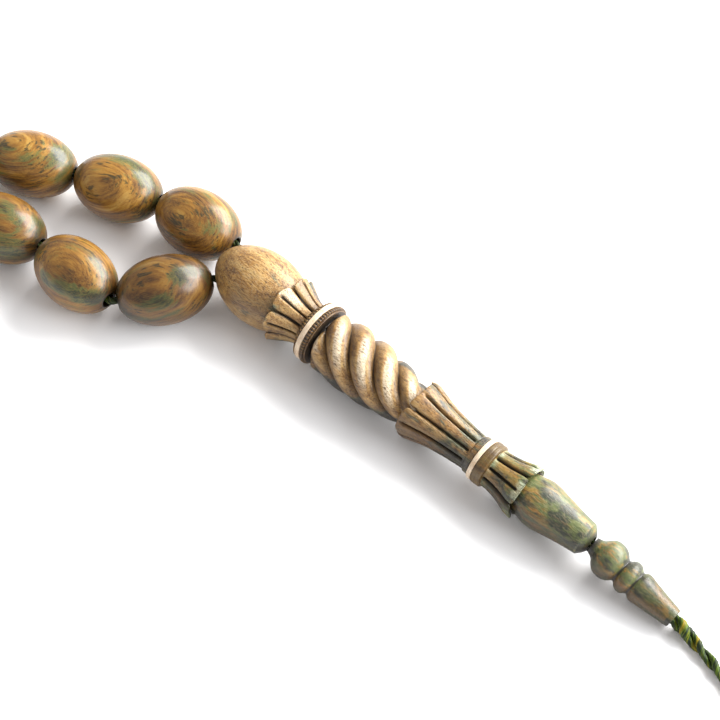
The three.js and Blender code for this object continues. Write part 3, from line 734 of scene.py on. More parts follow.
# Where each bead's growth layers are tangent to its surface (right, up, out), which
# way its fibres run there, a seed, and its greener spots (right, up, out, spread, strength),
# for the beads with a clear figure.
FIGURE = {
    "bead_01": ((-0.42, 0.10, 0.90), -36, 2.1, [(0.55, 0.05, 0.83, 0.30, 0.5), (0.0, 0.75, 0.66, 0.35, 0.35), (-0.1, -0.1, 1.0, 0.18, 0.3)]),
    "bead_02": ((-0.34, 0.02, 0.94), -10, 5.3, [(0.05, 0.75, 0.66, 0.30, 0.7), (-0.35, -0.05, 0.94, 0.28, -0.7), (0.55, 0.35, 0.75, 0.25, 0.5)]),
    "bead_03": ((-0.25, 0.60, 0.76), -24, 9.4, [(0.2, -0.2, 0.95, 0.25, 0.35), (0.72, 0.42, 0.55, 0.32, 0.6), (-0.45, 0.35, 0.82, 0.2, 0.4)]),
    "bead_33": ((-0.12, 0.08, 0.99), 10, 12.6, [(0.38, 0.38, 0.84, 0.30, 0.9), (0.05, -0.30, 0.95, 0.16, 0.8), (-0.3, -0.38, 0.87, 0.16, 0.6), (0.3, -0.75, 0.6, 0.3, 0.5)]),
    "bead_32": ((-0.22, 0.10, 0.97), -32, 17.2, [(-0.72, -0.18, 0.66, 0.17, 1.1), (-0.40, -0.40, 0.84, 0.16, 1.15), (0.0, -0.50, 0.86, 0.16, 1.15),
                                                 (0.40, -0.52, 0.76, 0.17, 1.1), (0.0, 0.62, 0.78, 0.2, 0.4)]),
    "bead_31": ((0.10, 0.55, 0.83), -20, 23.9, [(0.35, 0.45, 0.82, 0.34, 0.8), (0.0, -0.6, 0.8, 0.34, 0.7), (-0.3, 0.1, 0.95, 0.25, 0.5)]),
}


def bead_shape(seed):
    half = BEAD_LENGTH / 2 + 0.01
    a0 = math.asin(half / BEAD_SEMI)
    a = np.linspace(-a0, a0, 54)
    outer = np.stack([BEAD_SEMI * np.sin(a), BEAD_RADIUS * np.cos(a)], -1)
    k = len(outer)
    lip = np.array([[half + 0.03, 0.96], [half + 0.04, 0.90], [half + 0.02, 0.85], [half - 0.06, 0.81], [half - 0.45, BORE]])
    bore = np.stack([np.linspace(half - 1.2, -half + 1.2, 9), np.full(9, BORE)], -1)
    prof = np.concatenate([outer, lip, bore, (lip * [-1, 1])[::-1]])
    nphi = 72
    phi = np.linspace(0, 2 * math.pi, nphi, endpoint=False)
    X = prof[:, 0][:, None] * np.ones(nphi)
    R = prof[:, 1][:, None] * np.ones(nphi)
    rng = np.random.default_rng(seed)
    p1, p2 = rng.uniform(0, 6.28, 2)
    out = np.zeros(len(prof))
    out[:k] = 1
    R = R * (1 + out[:, None] * (0.0035 * np.sin(2 * phi + p1)[None, :] + 0.0015 * np.sin(3 * phi + p2 + 0.6 * X)))
    # Painted shade, with some dirt: darker towards the end lips and all down the bore.
    recess_dirt_and_shade = np.zeros(len(prof))
    recess_dirt_and_shade[:4] = [0.6, 0.35, 0.15, 0.04]
    recess_dirt_and_shade[k - 4:k] = [0.04, 0.15, 0.35, 0.6]
    recess_dirt_and_shade[k:] = 1.0
    return X, R, phi, recess_dirt_and_shade


def place_on(centre, way):
    yaw = math.atan2(-way[1], -way[0])
    Rz = rot_z(yaw)
    return (lambda p: row(p @ Rz.T + centre)), Rz


def figure_axes(name, Rz, index):
    """Rows: fibre, cross, layer normal, in the bead's own frame."""
    if name in FIGURE:
        (r, u, o), turn, seed, spots = FIGURE[name]
        n = r * IMG_RIGHT + u * IMG_UP + o * VIEW
        t = math.radians(turn)
        f = math.cos(t) * IMG_RIGHT + math.sin(t) * IMG_UP
    else:
        rng = np.random.default_rng(500 + index)
        n = rng.normal(size=3)
        n[2] += 1.2
        f = rng.normal(size=3)
        seed = 30.0 + 7.7 * index
        spots = [tuple(rng.normal(size=3)) + (0.35, rng.uniform(0.2, 0.8)) for _ in range(4)]
    n = n / np.linalg.norm(n)
    f = f - n * (f @ n)
    f /= np.linalg.norm(f)
    A = np.stack([f, np.cross(n, f), n])
    tips = []
    for sr, su, so, spread, strength in spots:
        d = sr * IMG_RIGHT + su * IMG_UP + so * VIEW
        tips.append((d / np.linalg.norm(d) @ Rz, spread, strength))
    return A @ Rz, seed, tips


for index, (name, kind, centre, way) in enumerate(STRUNG):
    if kind != "bead":
        continue
    X, R, phi, recess_dirt_and_shade = bead_shape(100 + index)
    place, Rz = place_on(centre, way)
    ob, flat = turned(name + "_turned", X, R, phi, place)
    A, seed, tips = figure_axes(name, Rz, index)
    set_vector(ob, "grain", flat @ A.T + np.array([seed * 3.1, seed * 1.7, seed]))
    set_float(ob, "recess_dirt_and_shade", np.repeat(recess_dirt_and_shade, len(phi)))
    N = flat / np.array([1.35, 1, 1])
    N = N / np.maximum(np.linalg.norm(N, axis=1), 1e-6)[:, None]
    tint = np.zeros(len(flat))
    for d, spread, strength in tips:
        tint += strength * np.exp(-np.sum((N - d) ** 2, axis=1) / (2 * spread ** 2))
    tint += 0.20 * sstep(2.4, 4.6, np.abs(flat[:, 0]))
    set_float(ob, "tint", np.minimum(tint, 1.35) - 0.10)
    # Each bead has its own tone, and all are painted darker towards their ends: painted shade where neighbouring beads
    # meet.
    own = {"bead_33": 0.66, "bead_32": 0.26, "bead_31": 0.40, "bead_01": 0.10, "bead_02": 0.12, "bead_03": 0.10}.get(name, 0.06 + 0.03 * (index % 7))
    set_float(ob, "shade", np.clip(own + 0.45 * sstep(3.6, 5.5, np.abs(flat[:, 0])), 0, 1))
    ob.data.materials.append(BEAD_WOOD)
    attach(ob, name)
    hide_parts(name)


# ------------------------------------------------------------- carved pieces
class Profile:
    """A profile built from tagged stretches."""

    def __init__(self):
        self.rows, self.tags = [], []

    def line(self, pts, step, tag=""):
        return self._add(resample(pts, step), tag)

    def curve(self, pts, step, tag=""):
        return self._add(resample(smooth_curve(pts, 60 * len(pts)), step), tag)

    def _add(self, q, tag):
        if self.rows and np.allclose(self.rows[-1], q[0], atol=1e-6):
            q = q[1:]
        self.rows.extend(q)
        self.tags.extend([tag] * len(q))
        return self

    def grid(self, nphi):
        p = np.array(self.rows)
        phi = np.linspace(0, 2 * math.pi, nphi, endpoint=False)
        return p[:, 0][:, None] * np.ones(nphi), p[:, 1][:, None] * np.ones(nphi), phi, np.array(self.tags)


def wave(v, seed):
    """A cheap smooth value between -1 and 1 from points, for hand-cut unevenness."""
    r = np.random.default_rng(seed)
    out = 0
    for k in range(6):
        d = r.normal(size=3) * (0.5 + 0.45 * k)
        out = out + np.sin(v @ d + r.uniform(0, 6.28)) / (1 + k)
    return out / 2.4


def notch(phi, petals, phase):
    """0 on a petal's middle line, 1 on the notch between two; and the petal's number."""
    a = (np.degrees(phi) - phase) / (360 / petals)
    k = np.floor(a)
    return np.abs(a - k - 0.5) * 2, (k.astype(int) % petals), (a - k - 0.5) * 2


def gather(phi, petals, phase, k):
    """More columns along each petal's middle and each notch."""
    a = phi - math.radians(phase)
    return phi - k * np.sin(2 * petals * a) / (2 * petals)


def vcut(n, width):
    """1 in the bottom of a narrow V between two petals, 0 away from it."""
    return np.clip(1 - (1 - n) / width, 0, 1) ** 1.2


def groove(dist, width):
    return np.exp(-(dist / width) ** 2)


def finish_piece(ob, flat, body, node, mat, recess_dirt_and_shade, tint, grain_turn=0.0, seed=0.0, shade=0.0):
    set_vector(ob, "grain", flat @ rot_x(grain_turn).T + np.array([seed, seed * 0.7, seed * 1.3]))
    n = len(flat)
    for nm, v in (("recess_dirt_and_shade", recess_dirt_and_shade), ("tint", tint), ("shade", shade + 0.0 * np.asarray(recess_dirt_and_shade, float))):
        v = np.asarray(v, float).ravel()
        set_float(ob, nm, np.concatenate([v, np.full(n - len(v), v[-1] if len(v) else 0)]) if len(v) < n else v)
    ob.data.materials.append(mat)
    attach(ob, body)
    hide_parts(node)
    return ob


def imame_head():
    p = Profile()
    p.curve([[-21.0, 0.02], [-20.93, 0.55], [-20.62, 1.30], [-20.0, 2.15], [-18.6, 3.25], [-16.8, 4.0], [-14.6, 4.3],
             [-12.6, 4.08], [-11.4, 3.72], [-10.4, 3.28], [-9.6, 2.82], [-8.95, 2.36]], 0.19, "egg")
    p.line([[-8.9, 2.34], [-9.6, 2.95], [-10.2, 3.50], [-10.45, 3.78]], 0.14, "in")
    p.line([[-10.45, 3.78], [-10.60, 3.94], [-10.5, 4.09]], 0.07, "tip")
    p.curve([[-10.5, 4.09], [-9.7, 3.66], [-8.9, 3.22], [-8.2, 2.90], [-7.5, 2.68], [-7.02, 2.60]], 0.075, "out")
    p.line([[-7.02, 2.60], [-6.98, 2.76]], 0.06, "neck")
    p.line([[-6.98, 2.76], [-6.46, 3.56]], 0.06, "mill")
    p.line([[-6.46, 3.56], [-6.40, 3.64], [-6.27, 3.66], [-6.22, 3.58]], 0.05, "rim")
    p.line([[-6.22, 3.58], [-6.22, 1.9], [-2.35, 1.9], [-2.3, 1.85], [-2.3, 0.02]], 0.3, "tenon")
    nphi = 448
    X, R, PHI, T = p.grid(nphi)
    PHI = gather(PHI, 7, 42.8, 0.45)
    n, petal, side = notch(PHI, 7, 42.8)
    n, side = n[None, :], side[None, :]
    rng = np.random.default_rng(7)
    jit = (rng.uniform(-1, 1, 7) * 0.12)[petal][None, :]
    lift = (rng.uniform(-1, 1, 7) * 0.08)[petal][None, :]
    lean = (rng.uniform(-1, 1, 7) * 0.10)[petal][None, :]
    recess_dirt_and_shade = np.zeros_like(X)
    base = R.copy()
    # The petals: nearly straight tips with sharp corners, a deep cut between petals and
    # a narrow one down the middle of each.
    tipx = -10.5 + jit * (1 - n ** 2) + 0.42 * n ** 5 + 2.1 * vcut(n, 0.13) + lean * side - 0.10 * (1 - n)
    cone_x = np.array([-10.8, -9.7, -8.9, -8.2, -7.5, -7.02])
    cone_r = np.array([4.25, 3.66, 3.22, 2.90, 2.68, 2.60])
    for tag, xb in (("out", -7.02), ("in", -8.9), ("tip", None)):
        m = T == tag
        x0 = X[m]
        if tag == "tip":
            dx = tipx + 10.5
            X[m] = x0 + dx
            full = np.interp(X[m], cone_x, cone_r)
            R[m] = full - (4.09 - base[m]) * (1 - 0.3 * n) + lift
            w = np.ones_like(x0)
        else:
            w = (xb - x0) / (xb + 10.5)
            X[m] = xb + (tipx - xb) * w
            if tag == "out":
                R[m] = np.interp(X[m], cone_x, cone_r) + lift * w
            else:
                R[m] = np.interp(X[m], [-10.8, -9.6, -8.9], [4.0, 2.95, 2.34]) + lift * w
        facet = 0.26 * (0.5 - np.abs(side)) * sstep(0.0, 0.6, w)
        R[m] += facet
        # Painted shade, with some dirt, is put in these grooves and inside the petals as a recess mark.
        if tag != "in":
            mid = R[m] * np.radians(360 / 7 / 2) * np.abs(side)
            cut = R[m] * np.radians(360 / 7 / 2) * (1 - np.abs(side))
            gm = groove(mid, 0.10 + 0.08 * w) * (1 - sstep(0.86, 0.97, w))
            gc = groove(cut, 0.17 + 0.08 * w)
            R[m] -= 0.40 * gm + 0.42 * gc * (1 - 0.4 * w)
            recess_dirt_and_shade[m] = np.maximum(recess_dirt_and_shade[m], np.maximum(gm * 0.9, gc * 0.85))
        else:
            recess_dirt_and_shade[m] = np.maximum(recess_dirt_and_shade[m], 0.75 * (1 - w) + 0.25)
    # The milled collar: fine cuts across the cone.
    m = (T == "mill") | (T == "rim")
    teeth = 0.5 - 0.5 * np.cos(56 * PHI)[None, :]
    depth = np.where(T[m] == "mill", 1.0, 0.7)[:, None] * (base[m] > 2.7)
    R[m] -= 0.18 * depth * (1 - teeth) ** 1.2
    # Painted shade, with some dirt, in the milled cuts and the neck.
    recess_dirt_and_shade[m] = np.maximum(recess_dirt_and_shade[m], 0.95 * depth * (1 - teeth) ** 1.2)
    recess_dirt_and_shade[T == "neck"] = 0.85
    # Painted shade on the egg under the crown's petals.
    m = T == "egg"
    recess_dirt_and_shade[m] = np.maximum(recess_dirt_and_shade[m], 0.6 * sstep(-10.6, -9.4, X[m]))
    # Uneven hand work, and the two string holes at the tip.
    P = np.stack([X, -R * np.sin(PHI), R * np.cos(PHI)], -1)
    soft = (T == "egg")[:, None] * 0.022 + ((T == "out") | (T == "tip"))[:, None] * 0.03
    R = R + soft * wave(P * 0.8, 3) * sstep(0.2, 1.5, R)
    P = np.stack([X, -R * np.sin(PHI), R * np.cos(PHI)], -1)
    for y, mouth in ((0.62, upper_mouth), (-0.62, lower_mouth)):
        a = np.array([-14.4, y, 0.0])
        b = (mouth - IMAME_T) @ IMAME_R
        d = (b - a) / np.linalg.norm(b - a)
        rel = P - a
        t = rel @ d
        off = np.linalg.norm(rel - t[..., None] * d, axis=-1)
        k = np.where(t > 2.0, np.clip(1 - (off / 0.80) ** 4, 0, 1), 0) * (T == "egg")[:, None]
        P = P - d * (k * 1.3)[..., None]
        # The string holes are painted dark as shade.
        recess_dirt_and_shade = np.maximum(recess_dirt_and_shade, k * 0.9)
    tint = 0.05 + 0.30 * sstep(-11.5, -8.0, X) * (0.5 + 0.5 * np.cos(PHI - math.radians(205)))[None, :] + 0.0 * X
    tint += 1.1 * np.exp(-((np.degrees(PHI) - 140) / 20) ** 2)[None, :] * (T != "egg")[:, None]
    tint += 0.5 * np.exp(-((np.degrees(PHI) - 300) / 14) ** 2)[None, :] * (T != "egg")[:, None]
    tint += 0.45 * (np.exp(-((X + 10.8) / 1.0) ** 2) * np.exp(-((np.degrees(PHI) - 55) / 28) ** 2)[None, :])
    deg = np.degrees(PHI)[None, :]
    # Painted shade on the lower side; also darker towards the tip and in patches on the lower side near the crown.
    shade = 0.12 + 0.22 * sstep(-18.0, -21.0, X) + 0.16 * sstep(60, 110, deg) * (1 - sstep(230, 280, deg)) + 0.0 * X
    shade += 0.50 * np.exp(-((deg - 64) / 20) ** 2) * sstep(-18.5, -14.5, X) + 0.42 * np.exp(-((deg - 36) / 22) ** 2) * sstep(-13.8, -11.4, X)
    # On the petals: one half of each painted darker as shade, the lower ones darker, and the front petals painted pale
    # as a highlight mixed with wear.
    petals = 0.14 + 0.20 * np.sign(side) + 0.3 * sstep(60, 110, deg) - 0.60 * np.exp(-((np.mod(deg - 8 + 180, 360) - 180) / 26) ** 2) * sstep(-7.2, -9.4, X)
    shade = np.where(np.broadcast_to(((T == "out") | (T == "tip") | (T == "in"))[:, None], X.shape), petals, shade)
    shade = np.where(np.broadcast_to(((T == "mill") | (T == "rim") | (T == "neck"))[:, None], X.shape), 0.55, shade)
    return P, T, recess_dirt_and_shade, tint, np.clip(shade, -1, 1)


def lofted(name, P, place):
    """A closed skin from a grid of local points whose first and last rows are caps."""
    ni, nj = P.shape[:2]
    flat = np.concatenate([P.reshape(-1, 3), P[0].mean(0)[None], P[-1].mean(0)[None]])
    j = np.arange(nj)
    k = (j + 1) % nj
    a, b, last = ni * nj, ni * nj + 1, (ni - 1) * nj
    caps = np.concatenate([np.stack([np.full(nj, a), j, k], -1), np.stack([np.full(nj, b), last + k, last + j], -1)])
    return new_object(name, place(flat), [grid_faces(ni, nj)[:, ::-1], caps]), flat


def lofted_ring(name, P, place):
    """A closed skin from a grid whose rows close on themselves round the section."""
    ni, nj = P.shape[:2]
    flat = P.reshape(-1, 3)
    return new_object(name, place(flat), grid_faces(ni, nj, wrap_i=True)[:, ::-1]), flat


place_imame = lambda p: row(on_imame(p))
place_finial = lambda p: row(on_finial(p))

P, T, recess_dirt_and_shade, tint, shade = imame_head()
ob, flat = lofted("imame_head_carved", P, place_imame)
finish_piece(ob, flat, "imame", "imame_head", PALE_WOOD, recess_dirt_and_shade, tint, 0.4, 3.0, shade)


def imame_column():
    p = Profile()
    p.line([[-5.48, 2.15], [-5.48, 3.66], [-5.40, 3.76], [-5.10, 3.76], [-5.04, 3.68], [-5.01, 3.42]], 0.06, "collar")
    p.line([[-5.01, 3.42], [-4.95, 3.50], [-4.85, 3.50], [-4.80, 3.42], [-4.76, 2.98]], 0.05, "ridge")
    p.line([[-4.76, 2.98], [-4.73, 2.50], [-4.62, 2.40], [-4.54, 2.46]], 0.06, "dark")
    p.line([[-4.54, 2.46], [9.7, 2.0]], 0.10, "twist")
    p.line([[9.7, 2.02], [9.0, 2.62], [8.55, 2.98]], 0.12, "in")
    p.line([[8.55, 2.98], [8.40, 3.12], [8.36, 3.26]], 0.06, "tip")
    p.curve([[8.36, 3.26], [8.8, 3.40], [9.3, 3.36], [10.4, 3.05], [11.4, 2.76], [12.5, 2.54], [14.0, 2.33], [15.4, 2.18],
             [16.62, 2.08]], 0.10, "out")
    p.line([[16.62, 2.08], [16.70, 2.20], [16.80, 2.29], [17.36, 2.33], [17.45, 2.25], [17.45, 1.25]], 0.07, "rim")
    p.line([[17.45, 1.25], [20.8, 1.25], [20.8, 0.78], [-1.9, 0.78], [-1.9, 2.15], [-5.48, 2.15]], 0.45, "inner")
    nphi = 400
    X, R, PHI, T = p.grid(nphi)
    PHI = gather(PHI, 5, 30.8, 0.4)
    X, R, T = X[:-1], R[:-1], T[:-1]
    deg = np.degrees(PHI)[None, :]
    recess_dirt_and_shade = np.zeros_like(X)
    base = R.copy()
    # Five rounded lobes wound to the right.
    m = T == "twist"
    x = X[m]
    k = np.clip((x + 4.2) / 12.0, -0.05, 1.16)
    body = 3.42 + 1.52 * k - 2.50 * k * k
    a = np.radians(np.mod(deg - 25.8 + 180, 360) - 180)
    rise = 17.5 * a / (2 * math.pi) + 0.8 * (1 - np.cos(a)) - 0.375 * np.sin(a)     # hand cut, so not an even helix
    f = np.mod((rise - x - 0.25) / 3.5, 1.0)
    u = 2 * f - 1
    lobe = np.sqrt(np.clip(1 - (0.985 * np.abs(u)) ** 2.3, 0, 1))
    size = body / 3.6
    r = body + 0.10 - 1.22 * size * (1 - lobe)
    start = sstep(-4.54, -4.0, x)
    r = np.maximum(r * (0.86 + 0.14 * start), 2.25)
    crest = 0.05 * size * np.exp(-((u + 0.15) / 0.22) ** 2)
    R[m] = r + crest
    # Painted shade, with some dirt, in the grooves between lobes, at the twist's start and under the calyx.
    recess_dirt_and_shade[m] = np.clip(1 - lobe * 1.55, 0, 1) ** 1.25
    recess_dirt_and_shade[m] = np.maximum(recess_dirt_and_shade[m], 0.9 * (1 - sstep(-4.52, -4.25, x)))
    recess_dirt_and_shade[m] = np.maximum(recess_dirt_and_shade[m], 0.75 * sstep(8.9, 9.5, x))
    # The long calyx.
    n, petal, side = notch(PHI, 5, 30.8)
    n, side = n[None, :], side[None, :]
    rng = np.random.default_rng(11)
    jit = np.array([0.10, -0.05, 0.08, -0.04, 0.55])[petal][None, :]
    lean = (rng.uniform(-1, 1, 5) * 0.12)[petal][None, :]
    tipx = 8.36 + jit * (1 - n ** 2) + 0.40 * n ** 4.5 + 1.5 * vcut(n, 0.11) + lean * side - 0.12 * (1 - n)
    cx = np.array([8.3, 8.8, 9.3, 10.4, 11.4, 12.5, 14.0, 15.4, 16.62])
    cr = np.array([3.22, 3.38, 3.36, 3.05, 2.76, 2.54, 2.33, 2.18, 2.08])
    for tag, xb in (("out", 16.62), ("in", 9.7), ("tip", None)):
        m = T == tag
        x0 = X[m]
        if tag == "tip":
            X[m] = x0 + tipx - 8.36
            R[m] = np.interp(X[m], cx, cr) - (3.26 - base[m])
            w = np.ones_like(x0)
        else:
            w = (xb - x0) / (xb - 8.36) if tag == "out" else np.clip((9.7 - x0) / (9.7 - 8.55), 0, 1)
            if tag == "out":
                X[m] = xb + (tipx - xb) * w
                R[m] = np.interp(X[m], cx, cr)
            else:
                X[m] = 9.75 + (tipx + 0.19 - 9.75) * w
                R[m] = base[m]
        # Painted shade, with some dirt, in the petals' grooves and insides.
        if tag != "in":
            half = math.pi / 5
            mid = R[m] * half * np.abs(side)
            cut = R[m] * half * (1 - np.abs(side))
            gm = groove(mid, 0.145) * sstep(0.015, 0.05, w) * (1 - sstep(0.90, 0.965, w))
            gc = groove(cut, 0.17) * sstep(0.01, 0.04, w)
            crown = 0.10 * (1 - (2 * np.abs(np.abs(side) - 0.5)) ** 2) * (0.6 + 0.4 * w)
            R[m] += crown - 0.40 * gm - 0.42 * gc
            recess_dirt_and_shade[m] = np.maximum(gm, gc) * (0.62 + 0.2 * np.sin(3.1 * X[m] + 5 * side))
        else:
            recess_dirt_and_shade[m] = 0.5 + 0.4 * (1 - w)
    # Milled first collar; the last collar's ribs are not cut.
    m = T == "collar"
    teeth = 0.5 - 0.5 * np.cos(60 * PHI)[None, :]
    on = (base[m] > 3.5)
    R[m] -= 0.12 * on * (1 - teeth) ** 1.3
    # Painted shade, with some dirt, in the milled cuts, the dark groove and under the ridge.
    recess_dirt_and_shade[m] = np.maximum(recess_dirt_and_shade[m], 0.75 * on * (1 - teeth) ** 1.5)
    recess_dirt_and_shade[T == "dark"] = 1.0
    recess_dirt_and_shade[T == "ridge"] = np.maximum(recess_dirt_and_shade[T == "ridge"], 0.55 * (base[T == "ridge"] < 3.46))
    m = (T == "rim") & (X[:, 0] < 17.4)
    P = np.stack([X, -R * np.sin(PHI), R * np.cos(PHI)], -1)
    soft = (T == "twist")[:, None] * 0.045 + ((T == "out") | (T == "tip"))[:, None] * 0.025
    R = R + soft * wave(P * 0.9, 5)
    P = np.stack([X, -R * np.sin(PHI), R * np.cos(PHI)], -1)
    # Green patina: low and high sides of the twist, and more towards the finial.
    low = sstep(78, 108, deg) * (1 - sstep(232, 262, deg))
    high = np.exp(-(np.mod(deg - 305 + 180, 360) - 180) ** 2 / (2 * 13.0 ** 2)) * sstep(2.0, 5.5, X)
    tint = 0.02 + 1.35 * low * sstep(-4.5, -2.5, X) * (X < 9.6) + 0.95 * high
    cal = sstep(8.2, 16.6, X)
    side_green = 0.5 - 0.5 * np.cos(np.radians(deg - 25))
    tint = np.where(X > 8.2, 0.10 + 0.50 * cal + 0.85 * side_green * (0.45 + 0.55 * cal), tint)
    tint = np.where(np.broadcast_to((T == "collar")[:, None], X.shape), 0.05, tint)
    # Painted highlight along the lobes' crests on the side facing the light, mixed with wear; painted shade on their
    # flanks and underneath, and on the calyx's lower side.
    shade = np.full(X.shape, 0.62)
    wear_and_highlight = np.exp(-((u + 0.17) / 0.41) ** 4) * np.exp(-((np.mod(deg - 16 + 180, 360) - 180) / 50) ** 2)
    shade[T == "twist"] = (0.62 - 1.80 * wear_and_highlight + 0.12 * np.sin(1.7 * x + 3 * u))
    under = sstep(70, 110, deg) * (1 - sstep(235, 280, deg))
    out = np.broadcast_to(((T == "out") | (T == "tip"))[:, None], X.shape)
    low = sstep(36, 78, deg) * (1 - sstep(235, 280, deg))
    shade = np.where(out, 0.42 + 0.50 * low + 0.10 * sstep(9, 15, X) * np.cos(np.radians(deg - 40)), shade)
    shade[T == "twist"] += np.broadcast_to(0.25 * under, X.shape)[T == "twist"]
    shade[T == "ridge"] = 1.0
    shade[T == "collar"] = 0.85
    return P, T, recess_dirt_and_shade, tint, np.clip(shade, -1, 1)


P, T, recess_dirt_and_shade, tint, shade = imame_column()
ob, flat = lofted_ring("imame_column_carved", P, place_imame)
finish_piece(ob, flat, "imame", "imame_column", PALE_WOOD, recess_dirt_and_shade, tint, 0.1, 23.0, shade)


def imame_base():
    p = Profile()
    p.line([[18.10, 1.5], [18.10, 2.50], [18.18, 2.60], [18.62, 2.61], [18.68, 2.56], [18.74, 2.60], [19.12, 2.59], [19.22, 2.50],
            [19.30, 2.26]], 0.06, "rim")
    p.curve([[19.30, 2.26], [19.8, 2.24], [20.6, 2.34], [21.4, 2.50], [22.2, 2.76], [22.9, 3.00], [23.6, 3.12], [23.72, 3.13]], 0.08, "out")
    p.line([[23.72, 3.10], [23.78, 3.02], [23.70, 2.88]], 0.06, "tip")
    p.line([[23.70, 2.88], [23.2, 2.58], [22.75, 2.22]], 0.10, "in")
    p.curve([[22.75, 2.20], [23.15, 2.24], [23.7, 2.40], [24.4, 2.56], [25.3, 2.73], [26.2, 2.70], [27.4, 2.50], [29.4, 2.16],
             [31.30, 1.91]], 0.14, "vase")
    p.line([[31.30, 1.91], [31.42, 1.90], [31.47, 1.86]], 0.035, "edge")
    p.line([[31.47, 1.86], [31.95, 1.38], [32.20, 1.02], [32.26, 0.90], [32.2, 0.78]], 0.09, "end")
    p.line([[32.2, 0.78], [21.1, 0.78], [21.1, 1.5], [18.10, 1.5]], 0.5, "inner")
    nphi = 360
    X, R, PHI, T = p.grid(nphi)
    PHI = gather(PHI, 5, -3.0, 0.4)
    X, R, T = X[:-1], R[:-1], T[:-1]
    deg = np.degrees(PHI)[None, :]
    recess_dirt_and_shade = np.zeros_like(X)
    base = R.copy()
    n, petal, side = notch(PHI, 5, -3.0)
    n, side = n[None, :], side[None, :]
    rng = np.random.default_rng(19)
    jit = (rng.uniform(-1, 1, 5) * 0.10)[petal][None, :]
    tipx = 23.75 + jit * (1 - n ** 2) - 0.40 * n ** 5 - 0.85 * vcut(n, 0.12)
    cx = np.array([19.30, 19.8, 20.6, 21.4, 22.2, 22.9, 23.6, 23.9])
    cr = np.array([2.26, 2.24, 2.34, 2.50, 2.76, 3.00, 3.10, 3.12])
    for tag in ("out", "in", "tip"):
        m = T == tag
        x0 = X[m]
        if tag == "tip":
            X[m] = x0 + tipx - 23.75
            R[m] = np.interp(X[m], cx, cr) - (3.10 - base[m])
            w = np.ones_like(x0)
        elif tag == "out":
            w = (x0 - 19.30) / (23.72 - 19.30)
            X[m] = 19.30 + (tipx - 0.03 - 19.30) * w
            R[m] = np.interp(X[m], cx, cr)
        else:
            w = np.clip((x0 - 22.75) / (23.70 - 22.75), 0, 1)
            X[m] = 22.6 + (tipx - 0.05 - 22.6) * w
            R[m] = base[m] - 0.25 * n ** 2 * w
        # Painted shade, with some dirt, in the petals' grooves and insides.
        if tag != "in":
            half = math.pi / 5
            mid = R[m] * half * np.abs(side)
            cut = R[m] * half * (1 - np.abs(side))
            gm = groove(mid, 0.17) * sstep(0.0, 0.05, w) * (1 - sstep(0.84, 0.95, w))
            gc = groove(cut, 0.20) * sstep(0.0, 0.04, w)
            crown = 0.08 * (1 - (2 * np.abs(np.abs(side) - 0.5)) ** 2)
            R[m] += crown - 0.38 * gm - 0.42 * gc
            recess_dirt_and_shade[m] = np.maximum(gm, gc) * 0.95
        else:
            recess_dirt_and_shade[m] = 0.45 + 0.45 * (1 - w)
    # Painted shade on the vase under the petals' ends, and towards the neck at the far end.
    m = T == "vase"
    recess_dirt_and_shade[m] = np.maximum(recess_dirt_and_shade[m], 0.7 * (1 - sstep(22.9, 23.6, X[m])))
    m = T == "end"
    recess_dirt_and_shade[m] = np.maximum(recess_dirt_and_shade[m], 0.6 * sstep(31.7, 32.15, X[m]))
    P = np.stack([X, -R * np.sin(PHI), R * np.cos(PHI)], -1)
    soft = ((T == "vase") | (T == "out") | (T == "tip"))[:, None] * 0.022
    R = R + soft * wave(P * 0.8, 8)
    P = np.stack([X, -R * np.sin(PHI), R * np.cos(PHI)], -1)
    tint = 0.50 + 0.0 * X
    tint = np.where(np.broadcast_to((T == "rim")[:, None], X.shape), -0.15, tint)
    tint = np.where(np.broadcast_to((T == "tip")[:, None], X.shape), 0.62, tint)
    tint = np.where(np.broadcast_to((T == "end")[:, None], X.shape), 0.6, tint)
    tint = tint + 0.30 * (0.5 - 0.5 * np.cos(np.radians(deg - 15)))
    tint = np.where(np.broadcast_to((T == "vase")[:, None], X.shape), tint + 0.09, tint)
    # Painted shade on the lower side.
    shade = 0.00 + 0.84 * sstep(34, 80, deg) * (1 - sstep(235, 280, deg)) + 0.0 * X
    # Painted highlight at the petals' roots and ends, mixed with rubbing wear; darker on the ribbed collar.
    rub_and_highlight = (0.55 * (1 - sstep(19.5, 20.4, X)) + 0.85 * sstep(22.5, 23.3, X) * (np.abs(side) < 0.55)) * (1 - np.clip(recess_dirt_and_shade, 0, 1))
    shade = np.where(np.broadcast_to(((T == "out") | (T == "tip"))[:, None], X.shape), shade + 0.12 - rub_and_highlight, shade)
    shade = np.where(np.broadcast_to((T == "rim")[:, None], X.shape), 0.70, shade)
    # A painted highlight along the edge line.
    shade = np.where(np.broadcast_to((T == "edge")[:, None], X.shape), -0.12, shade)
    return P, T, recess_dirt_and_shade, tint, np.clip(shade, -1, 1)


P, T, recess_dirt_and_shade, tint, shade = imame_base()
ob, flat = lofted_ring("imame_base_turned", P, place_imame)
finish_piece(ob, flat, "imame", "imame_base", OLIVE_WOOD, recess_dirt_and_shade, tint, 0.9, 43.0, shade)


